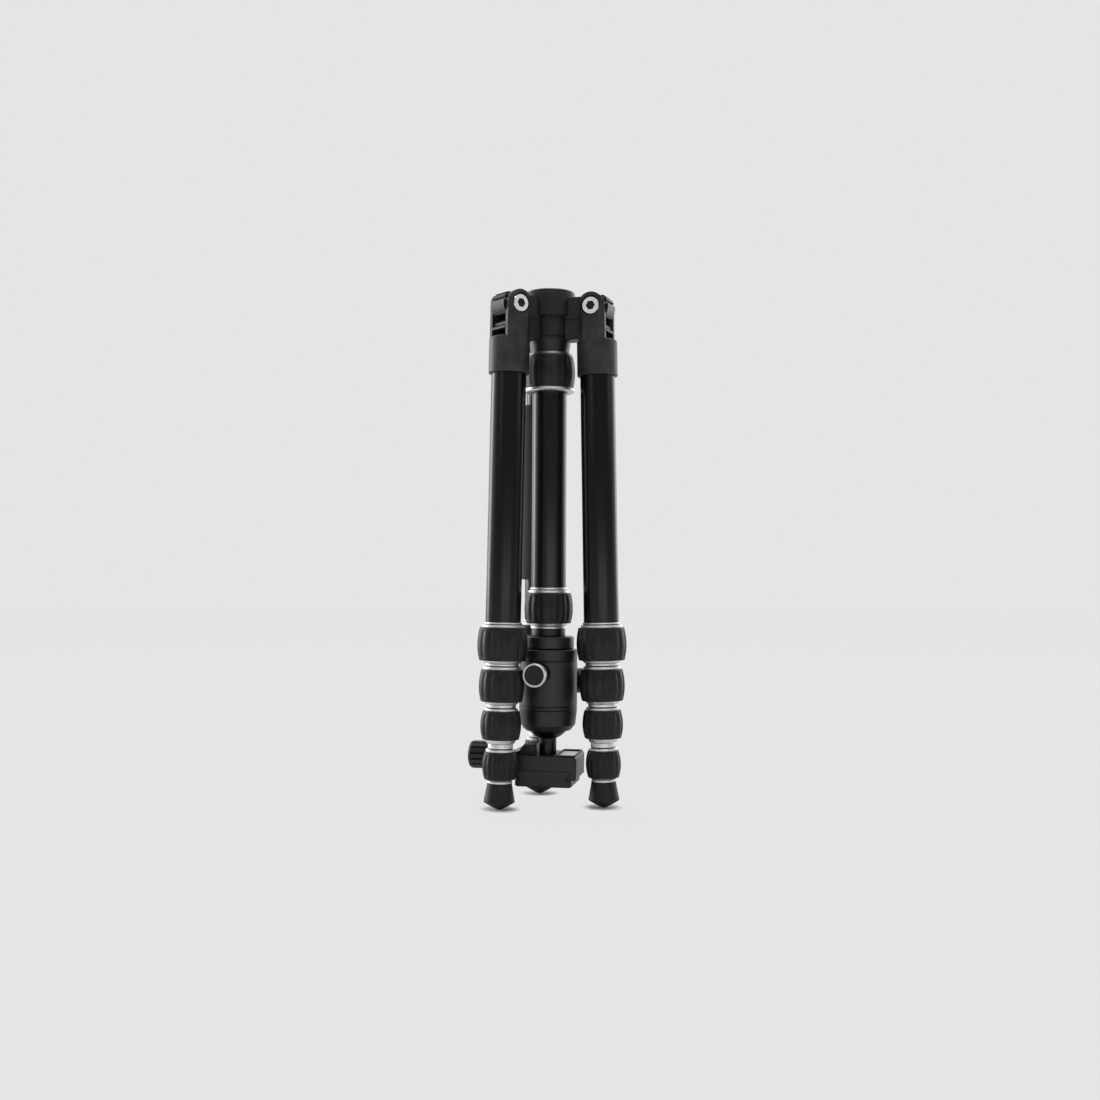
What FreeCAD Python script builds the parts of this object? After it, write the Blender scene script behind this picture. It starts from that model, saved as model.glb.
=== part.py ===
import FreeCAD, Part
import math
import os

import Sketcher
from FreeCAD import Placement, Rotation, Vector

# A folding travel tripod, standing on its feet with its legs folded back round the head.
# The floor is z = 0, the rear leg stands towards +Y, and the origin is the middle of the folded
# tripod's bounds. Everything is drawn round the centre column's axis and then moved there.

doc = FreeCAD.newDocument("FoldingTripod")
sheet = doc.addObject("Spreadsheet::Sheet", "Dims")

# Driving sizes, in millimetres and degrees

SIZES = [
    ("column_x", 2.4, "column axis from the middle of the folded tripod's bounds"),
    ("column_y", -10, "the same, towards the front"),
    ("leg_length", 356.5, "foot tip to pivot, folded"),
    ("leg_lean", 1.17, "outward lean of the folded leg"),
    ("pivot_radius", 36, "column axis to leg pivot"),
    ("tube_diameter", 25, "outermost leg tube"),
    ("tube_wall", 1.0, "wall of every leg tube"),
    ("tube_gap", 0.5, "radial gap between one leg tube and the next"),
    ("sleeve_fit", 0.08, "radial play of a guide sleeve or collet"),
    ("bond_gap", 0.02, "radial play of parts glued together"),
    ("turn_gap", 0.3, "play between parts that turn or slide past each other"),
    ("sleeve_length", 18, "guide sleeve at the top of each inner tube"),
    ("nest_step", 3, "each inner tube stops this much lower than the one round it"),
    ("foot_length", 18.4, "rubber foot, tip to ring"),
    ("foot_point_length", 5.2, "conical point of the foot"),
    ("foot_radius", 11, "widest part of the foot"),
    ("foot_neck_radius", 8.7, "foot under its ring"),
    ("foot_tip_radius", 1.1, "small flat at the tip"),
    ("foot_bulge", 2.2, "height of the point where it is half as wide"),
    ("foot_edge_in", 0.4, "rounding of the foot's widest edge, inwards"),
    ("foot_edge_low", 0.2, "the same, downwards"),
    ("foot_edge_high", 0.3, "the same, upwards"),
    ("foot_ring_edge", 0.3, "bevel of the foot's ring"),
    ("foot_socket_floor", 8, "bottom of the hole for the lowest tube"),
    ("foot_ring_length", 1.7, "polished ring on the foot"),
    ("foot_ring_radius", 8.7, "outside of that ring"),
    ("lock_1_length", 23.3, "grip of the uppermost lock"),
    ("lock_2_length", 22.5, "grip of the second lock"),
    ("lock_3_length", 20, "grip of the third lock"),
    ("lock_4_length", 19.1, "grip of the lowest lock"),
    ("lock_1_proud", 5.4, "how far grip 1 stands out from its tube"),
    ("lock_2_proud", 5.2, "how far grip 2 stands out from its tube"),
    ("lock_3_proud", 5.0, "how far grip 3 stands out from its tube"),
    ("lock_4_proud", 4.5, "how far grip 4 stands out from its tube"),
    ("lip_1_length", 1.8, "polished lip under grip 1"),
    ("lip_2_length", 1.7, "polished lip under grip 2"),
    ("lip_3_length", 2.7, "polished lip under grip 3"),
    ("lip_4_length", 0.8, "polished lip under grip 4"),
    ("flange_1_length", 1.7, "polished flange on grip 1"),
    ("flange_2_length", 1.9, "polished flange on grip 2"),
    ("flange_3_length", 1.7, "polished flange on grip 3"),
    ("flange_4_length", 1.8, "polished flange on grip 4"),
    ("collar_1_length", 1.5, "narrow collar above flange 1"),
    ("collar_2_length", 1.9, "narrow collar above flange 2"),
    ("collar_3_length", 2.5, "narrow collar above flange 3"),
    ("collar_4_length", 3.6, "narrow collar above flange 4"),
    ("flange_proud", 2.2, "flange beyond its tube"),
    ("collar_proud", 0.8, "collar beyond its tube"),
    ("thread_wall", 1.1, "threaded sleeve glued round a tube end"),
    ("sleeve_depth_share", 0.5, "share of a grip that the threaded sleeve reaches down"),
    ("grip_barrel", 1.4, "how much a grip narrows towards its ends"),
    ("grip_edge", 0.6, "bevel at a grip's ends"),
    ("rubber_wall", 2.4, "rubber round a lock nut"),
    ("lip_top_proud", 3.0, "top of a lip beyond the tube in it"),
    ("lip_low_proud", 1.8, "bottom of a lip beyond that tube"),
    ("collet_clear", 1.7, "collet above the nut's floor"),
    ("nut_floor", 1, "floor of a lock nut above its lip"),
    ("flute_count", 15, "flutes round a grip"),
    ("flute_radius", 2.6, "radius of a flute"),
    ("flute_depth", 0.55, "depth of a flute"),
    ("cup_length", 24.8, "straight part of the leg socket"),
    ("cup_radius", 14.5, "outside of the leg socket"),
    ("cup_bevel", 0.8, "sloping top of the leg socket"),
    ("socket_depth", 20, "how far the leg tube goes into its socket"),
    ("pivot_above_cup", 49.1, "pivot above the socket's lower rim"),
    ("ear_radius", 9.7, "ear round the pivot"),
    ("ear_outer", 13.3, "leg axis to the outer face of an ear"),
    ("ear_wall", 5.2, "thickness of an ear"),
    ("bolt_head_radius", 6.4, "head of the pivot bolt"),
    ("bolt_head_height", 1.8, "its height"),
    ("bolt_recess", 2.0, "recess for the head"),
    ("bolt_recess_play", 0.8, "radial play round the head"),
    ("bolt_barrel_radius", 4.0, "smooth barrel of the pivot bolt"),
    ("bolt_screw_radius", 2.5, "screw that goes into the barrel"),
    ("bolt_shank_length", 8.3, "thick shank of the screw under its head"),
    ("bolt_edge", 0.5, "bevel of a bolt's head"),
    ("hex_width", 6, "hexagon socket, across flats"),
    ("hex_depth", 1.4, "depth of that socket"),
    ("pin_fit", 0.05, "radial play of a pin or shaft in its hole"),
    ("washer_thickness", 0.4, "pivot washer"),
    ("washer_radius", 7.4, "outside of that washer"),
    ("washer_play", 0.1, "play each side of the washer"),
    ("nose_radius", 11.5, "stop nose of the arm round the pivot"),
    ("arm_top", 8.0, "top of the arm above the pivot"),
    ("arm_chin", 7.5, "chin of the nose below the pivot"),
    ("stop_1_angle", 105, "first angle stop of an opened leg, from the folded one"),
    ("stop_2_angle", 130, "second angle stop"),
    ("stop_depth", 1.2, "depth of an angle stop in the nose"),
    ("stop_width", 2.2, "width of an angle stop"),
    ("web_reach", 25.6, "column axis to the front of the arm's web"),
    ("web_half_width", 6.4, "half width of the web under the arm"),
    ("hub_radius", 18.7, "upper cylinder of the hub"),
    ("hub_rise", 13.97, "top of the hub above the pivots"),
    ("hub_cylinder_length", 19.2, "length of the upper cylinder"),
    ("hub_neck_radius", 15.2, "neck of the hub"),
    ("hub_neck_length", 17.0, "straight part of the neck"),
    ("hub_taper_length", 8.2, "tapered foot of the neck"),
    ("neck_groove_rise", 2, "groove above the tapered foot"),
    ("hub_collar_radius", 13.9, "narrow end of the neck"),
    ("hub_bevel", 0.9, "bevels of the hub"),
    ("neck_groove", 0.5, "groove round the neck"),
    ("liner_wall", 0.9, "plastic liner in the hub's bore"),
    ("arm_root", 1, "arms start this far inside the hub's wall"),
    ("web_bevel", 1.5, "bevel of the arm's web"),
    ("pawl_gap", 0.4, "pawl tip to the nose"),
    ("pawl_height", 6.2, "height of the angle pawl"),
    ("pawl_inner", 6, "pawl towards the column, from the leg axis"),
    ("pawl_outer", 8.4, "pawl away from the column"),
    ("pawl_ledge", 1.6, "thumb ledge of the pawl"),
    ("pawl_bore_radius", 4, "spring hole in the pawl"),
    ("pawl_roof", 1.6, "material above that hole"),
    ("spring_radius", 2.7, "spring, to the middle of its wire"),
    ("spring_wire", 0.8, "spring wire diameter"),
    ("spring_length", 5.0, "spring, pressed"),
    ("spring_pitch", 1.35, "pitch of the spring"),
    ("spring_clear", 0.15, "spring end to its seat"),
    ("foam_wall", 3.8, "foam round the rear leg tube"),
    ("foam_low", 161.5, "lower end of the foam, from the foot tip"),
    ("foam_length", 131.5, "length of the foam"),
    ("foam_edge", 1.6, "rounded end of the foam"),
    ("column_diameter", 25, "outer column tube"),
    ("column_wall", 1.2, "wall of the column tubes"),
    ("column_gap", 0.3, "radial gap of the inner column"),
    ("column_length", 227.1, "length of the outer column tube"),
    ("lock_a_length", 23.7, "grip of the hub's column lock"),
    ("lock_a_radius", 18.5, "outside of that grip"),
    ("lock_a_ring", 2.3, "polished rings of that lock"),
    ("lock_a_slope", 1.2, "slope of the lower ring, inwards"),
    ("lock_a_rim", 1.5, "slope of the lower ring, from its top"),
    ("lock_a_step", 0.6, "upper ring beyond the nut"),
    ("lock_a_edge", 0.3, "small bevel of the upper ring"),
    ("lock_a_floor_height", 2, "floor of the nut at the tube"),
    ("lock_a_thread_floor", 4, "floor of the nut under its thread"),
    ("hub_thread_radius", 14.4, "threaded nose of the hub in that lock"),
    ("hub_thread_depth", 14, "its length below the neck"),
    ("lock_b_length", 21.9, "grip of the inner column's lock"),
    ("lock_b_radius", 17.7, "outside of that grip"),
    ("lock_b_overlap", 10.7, "how far that grip reaches up over the outer tube"),
    ("lock_b_flange", 1.8, "polished flange above it"),
    ("lock_b_collar", 1.7, "polished collar above that"),
    ("lock_b_lip", 2.1, "polished lip under it"),
    ("column_collet_rise", 2, "column collet above the grip's lower end"),
    ("inner_column_length", 203.8, "length of the inner column"),
    ("inner_collar_length", 1.2, "polished collar of the inner column"),
    ("inner_collar_radius", 12.9, "outside of that collar"),
    ("mount_length", 5.7, "head mount between the column and the head"),
    ("mount_radius", 12.2, "outside of the mount"),
    ("mount_plug_length", 12, "plug of the mount in the inner column"),
    ("stud_radius", 4.7, "stud that the head screws on"),
    ("stud_length", 6, "stud beyond the mount"),
    ("base_length", 9.0, "panning base of the head"),
    ("base_radius", 18.5, "outside of the base"),
    ("base_bevel", 0.8, "bevels of the base"),
    ("housing_radius", 21, "head housing"),
    ("housing_length", 58.2, "its length, base to ball opening"),
    ("housing_band", 14.5, "tapered band at the opening"),
    ("housing_lip_radius", 19.8, "housing at the lip over its mouth"),
    ("housing_lip_length", 4, "bevelled lip round the mouth"),
    ("housing_mouth_radius", 16.4, "outside of the mouth's edge"),
    ("housing_wall", 2.4, "wall round the ball seat"),
    ("housing_floor", 30.5, "solid part of the housing above the ball"),
    ("housing_groove", 0.5, "depth of the grooves round the housing"),
    ("upper_groove_drop", 8.2, "upper groove below the housing's top"),
    ("middle_groove_drop", 40.6, "first groove of the lower pair"),
    ("groove_step", 2.6, "between the grooves of that pair"),
    ("ball_radius", 17.2, "ball"),
    ("ball_above_mouth", 10.0, "centre of the ball above the housing's mouth"),
    ("ball_opening_radius", 15.2, "opening that the ball looks out of"),
    ("opening_edge", 1.0, "straight edge of that opening"),
    ("opening_shelf", 1.6, "height of the slope inside it"),
    ("seat_wall", 0.9, "ball seat shell"),
    ("seat_upper", 9.5, "seat above the ball's centre"),
    ("seat_lower", 3.5, "seat below the ball's centre"),
    ("stem_radius", 6.2, "stem of the ball"),
    ("stem_reach", 27.4, "centre of the ball to the clamp"),
    ("stem_step", 1, "radial step of the stem where it enters the clamp"),
    ("pan_knob_drop", 16.6, "pan lock below the housing's top"),
    ("pan_knob_angle", 247, "direction of the pan lock"),
    ("pan_knob_radius", 8.4, "face ring of the pan lock"),
    ("pan_knob_reach", 38.8, "column axis to its face"),
    ("pan_knob_rim", 4.2, "length of its rim"),
    ("pan_knob_neck", 6.4, "narrow body of the pan lock"),
    ("pan_disc_radius", 6.9, "dark disc in its face"),
    ("pan_disc_sink", 0.6, "that disc below the rim"),
    ("pan_face_depth", 2, "recess for the disc"),
    ("pan_flare", 1, "flare from the neck to the rim"),
    ("knob_flat_depth", 1.6, "flat seats cut into the housing for the knobs"),
    ("knob_flat_play", 0.6, "radial play of a knob in its flat seat"),
    ("ball_knob_drop", 24.2, "ball lock below the housing's top"),
    ("ball_knob_angle", 30, "direction of the ball lock"),
    ("ball_knob_radius", 9, "ball lock"),
    ("ball_knob_reach", 36.5, "column axis to its face"),
    ("ball_knob_start", 22.5, "column axis to its inner end"),
    ("knob_shaft_radius", 2.9, "shaft of both head knobs"),
    ("knob_shaft_depth", 9, "shaft inside the housing"),
    ("ball_knob_hub", 3, "hub of the ball lock inside its outer radius"),
    ("ball_knob_bevel", 0.8, "inner bevel of the ball lock"),
    ("ball_knob_round", 2, "outer bevel of the ball lock"),
    ("clamp_angle", -19, "direction of the clamp's fixed jaw"),
    ("clamp_thickness", 10.2, "thickness of the clamp body"),
    ("clamp_half_length", 23.8, "column axis to each end"),
    ("clamp_half_width", 18.6, "half width of the clamp"),
    ("clamp_bevel", 1.0, "bevels of the clamp"),
    ("boss_height", 7.4, "sloping boss on the clamp"),
    ("boss_half_width", 10.5, "half width of the boss"),
    ("boss_near", 7.4, "boss end near the stem"),
    ("boss_crest", 8.1, "length of the boss's top"),
    ("boss_end_height", 4, "low end of the boss"),
    ("stem_socket", 5.4, "how deep the stem sits in the clamp"),
    ("jaw_wall", 5.2, "thickness of the moving jaw"),
    ("jaw_half_width", 15.5, "half width of the moving jaw"),
    ("jaw_drop", 6.1, "jaws below the clamp body"),
    ("jaw_lip_edge", 1.2, "upright edge of the jaw lips"),
    ("jaw_rise", 2.2, "outer edge of the moving jaw above the clamp body"),
    ("jaw_crown", 3, "inner edge of the moving jaw above the clamp body"),
    ("jaw_lip", 16.9, "column axis to the jaw lips"),
    ("jaw_root", 19.4, "column axis to the dovetail's root"),
    ("jaw_slope", 2.5, "height of the dovetail's slope"),
    ("jaw_travel", 4, "travel of the moving jaw"),
    ("screw_drop", 2.2, "clamp screw below the top of the clamp body"),
    ("clamp_screw_radius", 2.5, "clamp screw"),
    ("clamp_screw_depth", 12, "screw in the clamp body"),
    ("clamp_screw_short", 1, "screw short of the bottom of its hole"),
    ("clamp_screw_shoulder", 1.6, "shoulder on the screw beyond its radius"),
    ("clamp_knob_radius", 10, "clamp knob"),
    ("clamp_knob_start", 38, "column axis to the knob"),
    ("clamp_knob_end", 59, "column axis to its outer end"),
    ("clamp_knob_neck", 6, "neck of the knob"),
    ("clamp_knob_round", 3, "rounded outer end of the knob"),
    ("clamp_knob_flare", 1.5, "flare from the neck to the knob"),
    ("clamp_knob_bevel", 1, "inner bevel of the knob"),
    ("knob_rib_count", 20, "grooves round a knob"),
    ("knob_rib_depth", 0.7, "depth of those grooves"),
    ("knob_rib_radius", 0.9, "radius of those grooves"),
    ("knob_rib_end", 0.5, "grooves beyond or short of the ribbed length"),
    ("plate_height", 10.35, "height of the plate with its dovetail"),
    ("plate_platform", 4.2, "thickness of the plate's platform"),
    ("plate_half_length", 20.4, "plate along the clamp"),
    ("plate_half_width", 19, "plate across the clamp"),
    ("plate_neck", 16.5, "half width of the dovetail's neck"),
    ("plate_tail", 19.1, "half width of the dovetail"),
    ("plate_play", 0.25, "play between plate and clamp"),
    ("plate_corner", 1.5, "corner radius of the plate"),
    ("pad_thickness", 0.8, "rubber pad on the plate"),
    ("pad_margin", 1.2, "pad inside the plate's edge"),
    ("camera_screw_radius", 3.175, "quarter-inch camera screw"),
    ("screw_head_radius", 7.2, "head of the camera screw"),
    ("screw_head_height", 2.4, "its height"),
    ("screw_slot", 1.4, "slot in the screw's head"),
    ("screw_play", 0.35, "play round the camera screw"),
    ("screw_point_rise", 0.2, "tip of the camera screw above the pad's face"),
    ("cap_radius", 17.9, "end cap of the column"),
    ("cap_height", 2.0, "cap above the hub's recess"),
    ("cap_plug_length", 9, "plug of the cap in the column tube"),
    ("cap_plug_wall", 2.2, "wall of that plug"),
    ("small_bevel", 0.4, "bevel of small turned edges"),
    ("edge_bevel", 0.6, "bevel of larger turned edges"),
    ("cut_room", 1, "how far a cutting shape goes past what it cuts"),
]

for row, (alias, number, note) in enumerate(SIZES, 1):
    sheet.set(f"A{row}", alias)
    sheet.set(f"B{row}", str(number))
    sheet.setAlias(f"B{row}", alias)
    sheet.set(f"C{row}", note)
doc.recompute()

NUMBERS = {alias: number for alias, number, note in SIZES}


class Size:
    """A size worked out from the sheet: its number now, and the expression that ties it to the sheet."""

    def __init__(self, number, text):
        self.number = number
        self.text = text

    def __add__(self, other):
        other = sized(other)
        return Size(self.number + other.number, f"({self.text} + {other.text})")

    def __sub__(self, other):
        other = sized(other)
        return Size(self.number - other.number, f"({self.text} - {other.text})")

    def __mul__(self, other):
        other = sized(other)
        return Size(self.number * other.number, f"({self.text} * {other.text})")

    def __truediv__(self, other):
        other = sized(other)
        return Size(self.number / other.number, f"({self.text} / {other.text})")

    def __neg__(self):
        return Size(-self.number, f"(-{self.text})")

    def __radd__(self, other):
        return sized(other) + self

    def __rsub__(self, other):
        return sized(other) - self

    def __rmul__(self, other):
        return sized(other) * self


def sized(value):
    """A plain number as a Size; a Size as it is."""
    return value if isinstance(value, Size) else Size(float(value), repr(float(value)))


def dim(alias):
    """The size that a cell of the sheet holds."""
    return Size(float(NUMBERS[alias]), f"Dims.{alias}")


# Drawing helpers


class Mid:
    """The middle point of an arc between its two neighbours in an outline."""

    def __init__(self, x, y):
        self.x = x
        self.y = y


def origin_plane(body, role):
    """One of a body's own origin planes."""
    return next(feature for feature in body.Origin.OriginFeatures if feature.Role == role)


def tie(sketch, kind, geometry, position, value):
    """Fix one coordinate of a point, measured from the sketch's origin, to a size."""
    value = sized(value)
    if value.text == "0.0":
        axis = -2 if kind == "DistanceX" else -1
        sketch.addConstraint(Sketcher.Constraint("PointOnObject", geometry, position, axis))
        return
    number = sketch.addConstraint(
        Sketcher.Constraint(kind, -1, 1, geometry, position, value.number)
    )
    sketch.setExpression(f"Constraints[{number}]", value.text)


def new_sketch(body, role, offset=0):
    """An empty sketch on one of the body's planes, or at an offset from it."""
    sketch = body.newObject("Sketcher::SketchObject", f"{body.Name}_sketch")
    sketch.AttachmentSupport = (origin_plane(body, role), [""])
    sketch.MapMode = "FlatFace"
    offset = sized(offset)
    sketch.AttachmentOffset = Placement(Vector(0, 0, offset.number), Rotation())
    sketch.setExpression("AttachmentOffset.Base.z", offset.text)
    return sketch


def draw_outline(sketch, outline):
    """Draw a closed outline of points, with arcs through any Mid points, every vertex tied to sizes."""
    points = [
        (sized(p.x), sized(p.y), True) if isinstance(p, Mid) else (sized(p[0]), sized(p[1]), False)
        for p in outline
    ]
    corners = [i for i, point in enumerate(points) if not point[2]]
    at = {i: Vector(points[i][0].number, points[i][1].number, 0) for i in range(len(points))}
    ends = []
    for index, here in enumerate(corners):
        there = corners[(index + 1) % len(corners)]
        between = (here + 1) % len(points)
        if between == there:
            geometry = sketch.addGeometry(Part.LineSegment(at[here], at[there]))
            ends.append((geometry, 1, 2))
            continue
        turn = (at[between] - at[here]).cross(at[there] - at[between]).z
        first, last = (at[here], at[there]) if turn > 0 else (at[there], at[here])
        geometry = sketch.addGeometry(Part.Arc(first, at[between], last))
        ends.append((geometry, 1, 2) if turn > 0 else (geometry, 2, 1))
        marker = sketch.addGeometry(Part.Point(at[between]), True)
        sketch.addConstraint(Sketcher.Constraint("PointOnObject", marker, 1, geometry))
        tie(sketch, "DistanceX", marker, 1, points[between][0])
        tie(sketch, "DistanceY", marker, 1, points[between][1])
    for index, (geometry, start, end) in enumerate(ends):
        following, next_start, next_end = ends[(index + 1) % len(ends)]
        sketch.addConstraint(Sketcher.Constraint("Coincident", geometry, end, following, next_start))
        corner = points[corners[index]]
        tie(sketch, "DistanceX", geometry, start, corner[0])
        tie(sketch, "DistanceY", geometry, start, corner[1])


def draw_circle(sketch, x, y, radius):
    """Draw a circle whose centre and radius are tied to sizes."""
    x, y, radius = sized(x), sized(y), sized(radius)
    centre = Vector(x.number, y.number, 0)
    geometry = sketch.addGeometry(Part.Circle(centre, Vector(0, 0, 1), radius.number))
    number = sketch.addConstraint(Sketcher.Constraint("Radius", geometry, radius.number))
    sketch.setExpression(f"Constraints[{number}]", radius.text)
    tie(sketch, "DistanceX", geometry, 3, x)
    tie(sketch, "DistanceY", geometry, 3, y)
    return geometry


def new_body(name):
    """An empty body."""
    return doc.addObject("PartDesign::Body", name)


def turn_profile(body, outline, feature="PartDesign::Revolution", kind="turned"):
    """Turn an outline of (radius, height) points about the body's Z axis."""
    sketch = new_sketch(body, "XZ_Plane")
    draw_outline(sketch, outline)
    turned = body.newObject(feature, f"{body.Name}_{kind}")
    turned.Profile = sketch
    turned.ReferenceAxis = (sketch, ["V_Axis"])
    turned.Angle = 360
    sketch.Visibility = False
    return turned


def turned_body(name, outline):
    """A body turned about Z from one outline."""
    body = new_body(name)
    turn_profile(body, outline)
    return body


def ring(inner, outer, low, high, bevel=0.0):
    """The outline of a plain ring with bevelled outer edges."""
    if not isinstance(bevel, Size) and bevel == 0.0:
        return [(inner, low), (outer, low), (outer, high), (inner, high)]
    return [
        (inner, low), (outer - bevel, low), (outer, low + bevel),
        (outer, high - bevel), (outer - bevel, high), (inner, high),
    ]


def extrude(body, feature, sketch, length, both_ways=False, reverse=False):
    """Pad or pocket a sketch by a length, to one side or half to each side."""
    length = sized(length)
    made = body.newObject(feature, f"{body.Name}_{feature.split('::')[1].lower()}")
    made.Profile = sketch
    made.Length = length.number
    made.setExpression("Length", length.text)
    made.Midplane = both_ways
    made.Reversed = reverse
    sketch.Visibility = False
    return made


def pad(body, role, outline, length, offset=0, both_ways=False, reverse=False):
    """Pad an outline drawn on one of the body's planes."""
    sketch = new_sketch(body, role, offset)
    draw_outline(sketch, outline)
    return extrude(body, "PartDesign::Pad", sketch, length, both_ways, reverse)


def cut(body, role, outline, length, offset=0, both_ways=False, reverse=False):
    """Cut an outline drawn on one of the body's planes, and make sure that it cuts."""
    doc.recompute()
    before = body.Shape.Volume
    sketch = new_sketch(body, role, offset)
    draw_outline(sketch, outline)
    made = extrude(body, "PartDesign::Pocket", sketch, length, both_ways, reverse)
    check_cut(body, before, made)
    return made


def bore(body, role, x, y, radius, length, offset=0, both_ways=False, reverse=False):
    """Cut a round hole square to one of the body's planes, and make sure that it cuts."""
    doc.recompute()
    before = body.Shape.Volume
    sketch = new_sketch(body, role, offset)
    draw_circle(sketch, x, y, radius)
    made = extrude(body, "PartDesign::Pocket", sketch, length, both_ways, reverse)
    check_cut(body, before, made)
    return made


def check_cut(body, before, made):
    """Stop if a cut removed nothing, or a feature before it failed."""
    doc.recompute()
    failed = [item.Name for item in body.Group if "Invalid" in item.State or "Error" in item.State]
    if failed or not body.Shape.Volume < before:
        raise RuntimeError(f"{made.Name} removed nothing, or {failed} failed")


def repeat_round(body, feature, count):
    """Repeat a cut round the body's Z axis."""
    pattern = body.newObject("PartDesign::PolarPattern", f"{body.Name}_pattern")
    pattern.Originals = [feature]
    pattern.Axis = (origin_plane(body, "Z_Axis"), [""])
    pattern.Angle = 360
    count = sized(count)
    pattern.Occurrences = int(count.number)
    pattern.setExpression("Occurrences", count.text)
    body.Tip = pattern
    return pattern


def dress_edges(body, kind, size, choose):
    """Fillet or chamfer the edges of the body that choose() picks."""
    doc.recompute()
    base = body.Tip
    names = [f"Edge{i}" for i, edge in enumerate(base.Shape.Edges, 1) if choose(edge)]
    if not names:
        raise RuntimeError(f"{body.Name} has no edge to dress")
    size = sized(size)
    made = body.newObject(f"PartDesign::{kind}", f"{body.Name}_{kind.lower()}")
    made.Base = (base, names)
    field = "Radius" if kind == "Fillet" else "Size"
    setattr(made, field, size.number)
    made.setExpression(field, size.text)
    body.Tip = made
    return made


def placed(label, pieces, placement=None):
    """Some bodies together, at their place round the column's axis."""
    group = doc.addObject("Part::Compound", label)
    group.Label = label
    group.Links = pieces
    group.Placement = placement or Placement()
    for piece in pieces:
        piece.Visibility = False
    return group


SUB_PARTS = []


def sub_part(label, pieces, placement=None):
    """A sub-part that gets a file of its own, at its place in the tripod's frame."""
    column_axis = Placement(Vector(dim("column_x").number, dim("column_y").number, 0), Rotation())
    SUB_PARTS.append(placed(label, pieces, column_axis * (placement or Placement())))


# Where the legs stand

LEGS = {"rear_leg": 90, "left_leg": 210, "right_leg": 330}


def leg_frame(direction):
    """A leg's own frame: origin at the foot tip, +Z up the leg to the pivot, +X away from the column."""
    lean = dim("leg_lean").number
    foot = dim("pivot_radius").number + dim("leg_length").number * math.sin(math.radians(lean))
    across = Vector(foot, 0, 0)
    return Placement(Vector(), Rotation(Vector(0, 0, 1), direction)) * Placement(
        across, Rotation(Vector(0, 1, 0), -lean)
    )


# Leg tubes and their locks, stacked up from the foot

turn_gap = dim("turn_gap")
bond = dim("bond_gap")
small_bevel = dim("small_bevel")
edge_bevel = dim("edge_bevel")
room = dim("cut_room")


def tube_radius(number):
    """Outer radius of leg tube 1 to 5: each slides in the one before it."""
    return dim("tube_diameter") / 2 - (number - 1) * (dim("tube_wall") + dim("tube_gap"))


def barrel_grip(body, inner, radius, low, high):
    """A rubber grip: a ring whose outside bulges in the middle, with flutes that follow the bulge."""
    edge = dim("grip_edge")
    end = radius - dim("grip_barrel")
    middle = (low + high) / 2
    turn_profile(body, [
        (inner, low), (end - edge, low), (end, low + edge), Mid(radius, middle),
        (end, high - edge), (end - edge, high), (inner, high),
    ])
    half = (high.number - low.number) / 2 - edge.number
    barrel = dim("grip_barrel").number
    sweep = (half ** 2 + barrel ** 2) / (2 * barrel)
    doc.recompute()
    before = body.Shape.Volume
    sketch = new_sketch(body, "XY_Plane", middle)
    draw_circle(sketch, radius + dim("flute_radius") - dim("flute_depth"), 0, dim("flute_radius"))
    half_text = f"(({high.text} - {low.text}) / 2 - {edge.text})"
    bulge_text = dim("grip_barrel").text
    sweep_text = f"({half_text} * {half_text} + {bulge_text}^2) / (2 * {bulge_text})"
    bulge = Size(sweep, sweep_text)
    axis = sketch.addGeometry(
        Part.LineSegment(Vector(radius.number - sweep, -1, 0), Vector(radius.number - sweep, 1, 0)), True
    )
    tie(sketch, "DistanceX", axis, 1, radius - bulge)
    tie(sketch, "DistanceX", axis, 2, radius - bulge)
    tie(sketch, "DistanceY", axis, 1, -1)
    tie(sketch, "DistanceY", axis, 2, 1)
    flute = body.newObject("PartDesign::Groove", f"{body.Name}_flute")
    flute.Profile = sketch
    flute.ReferenceAxis = (sketch, ["Axis0"])
    flute.Midplane = True
    flute.Angle = 2 * math.degrees(math.asin(min(1.0, (half + edge.number) / sweep)))
    sketch.Visibility = False
    check_cut(body, before, flute)
    repeat_round(body, flute, dim("flute_count"))


def lock_nut(name, sleeve, wall, tube, low, lip, high):
    """The metal nut under a grip: it turns on a threaded sleeve and ends in a polished lip."""
    passing = tube + turn_gap
    thread = sleeve + turn_gap
    return turned_body(name, [
        (passing, low), (tube + dim("lip_low_proud"), low), (tube + dim("lip_top_proud"), low + lip),
        (wall, low + lip), (wall, high), (thread, high), (thread, low + lip + dim("nut_floor")),
        (passing, low + lip + dim("nut_floor")),
    ])


leg_parts = {}
reach = dim("foot_length") + dim("foot_ring_length")

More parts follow.
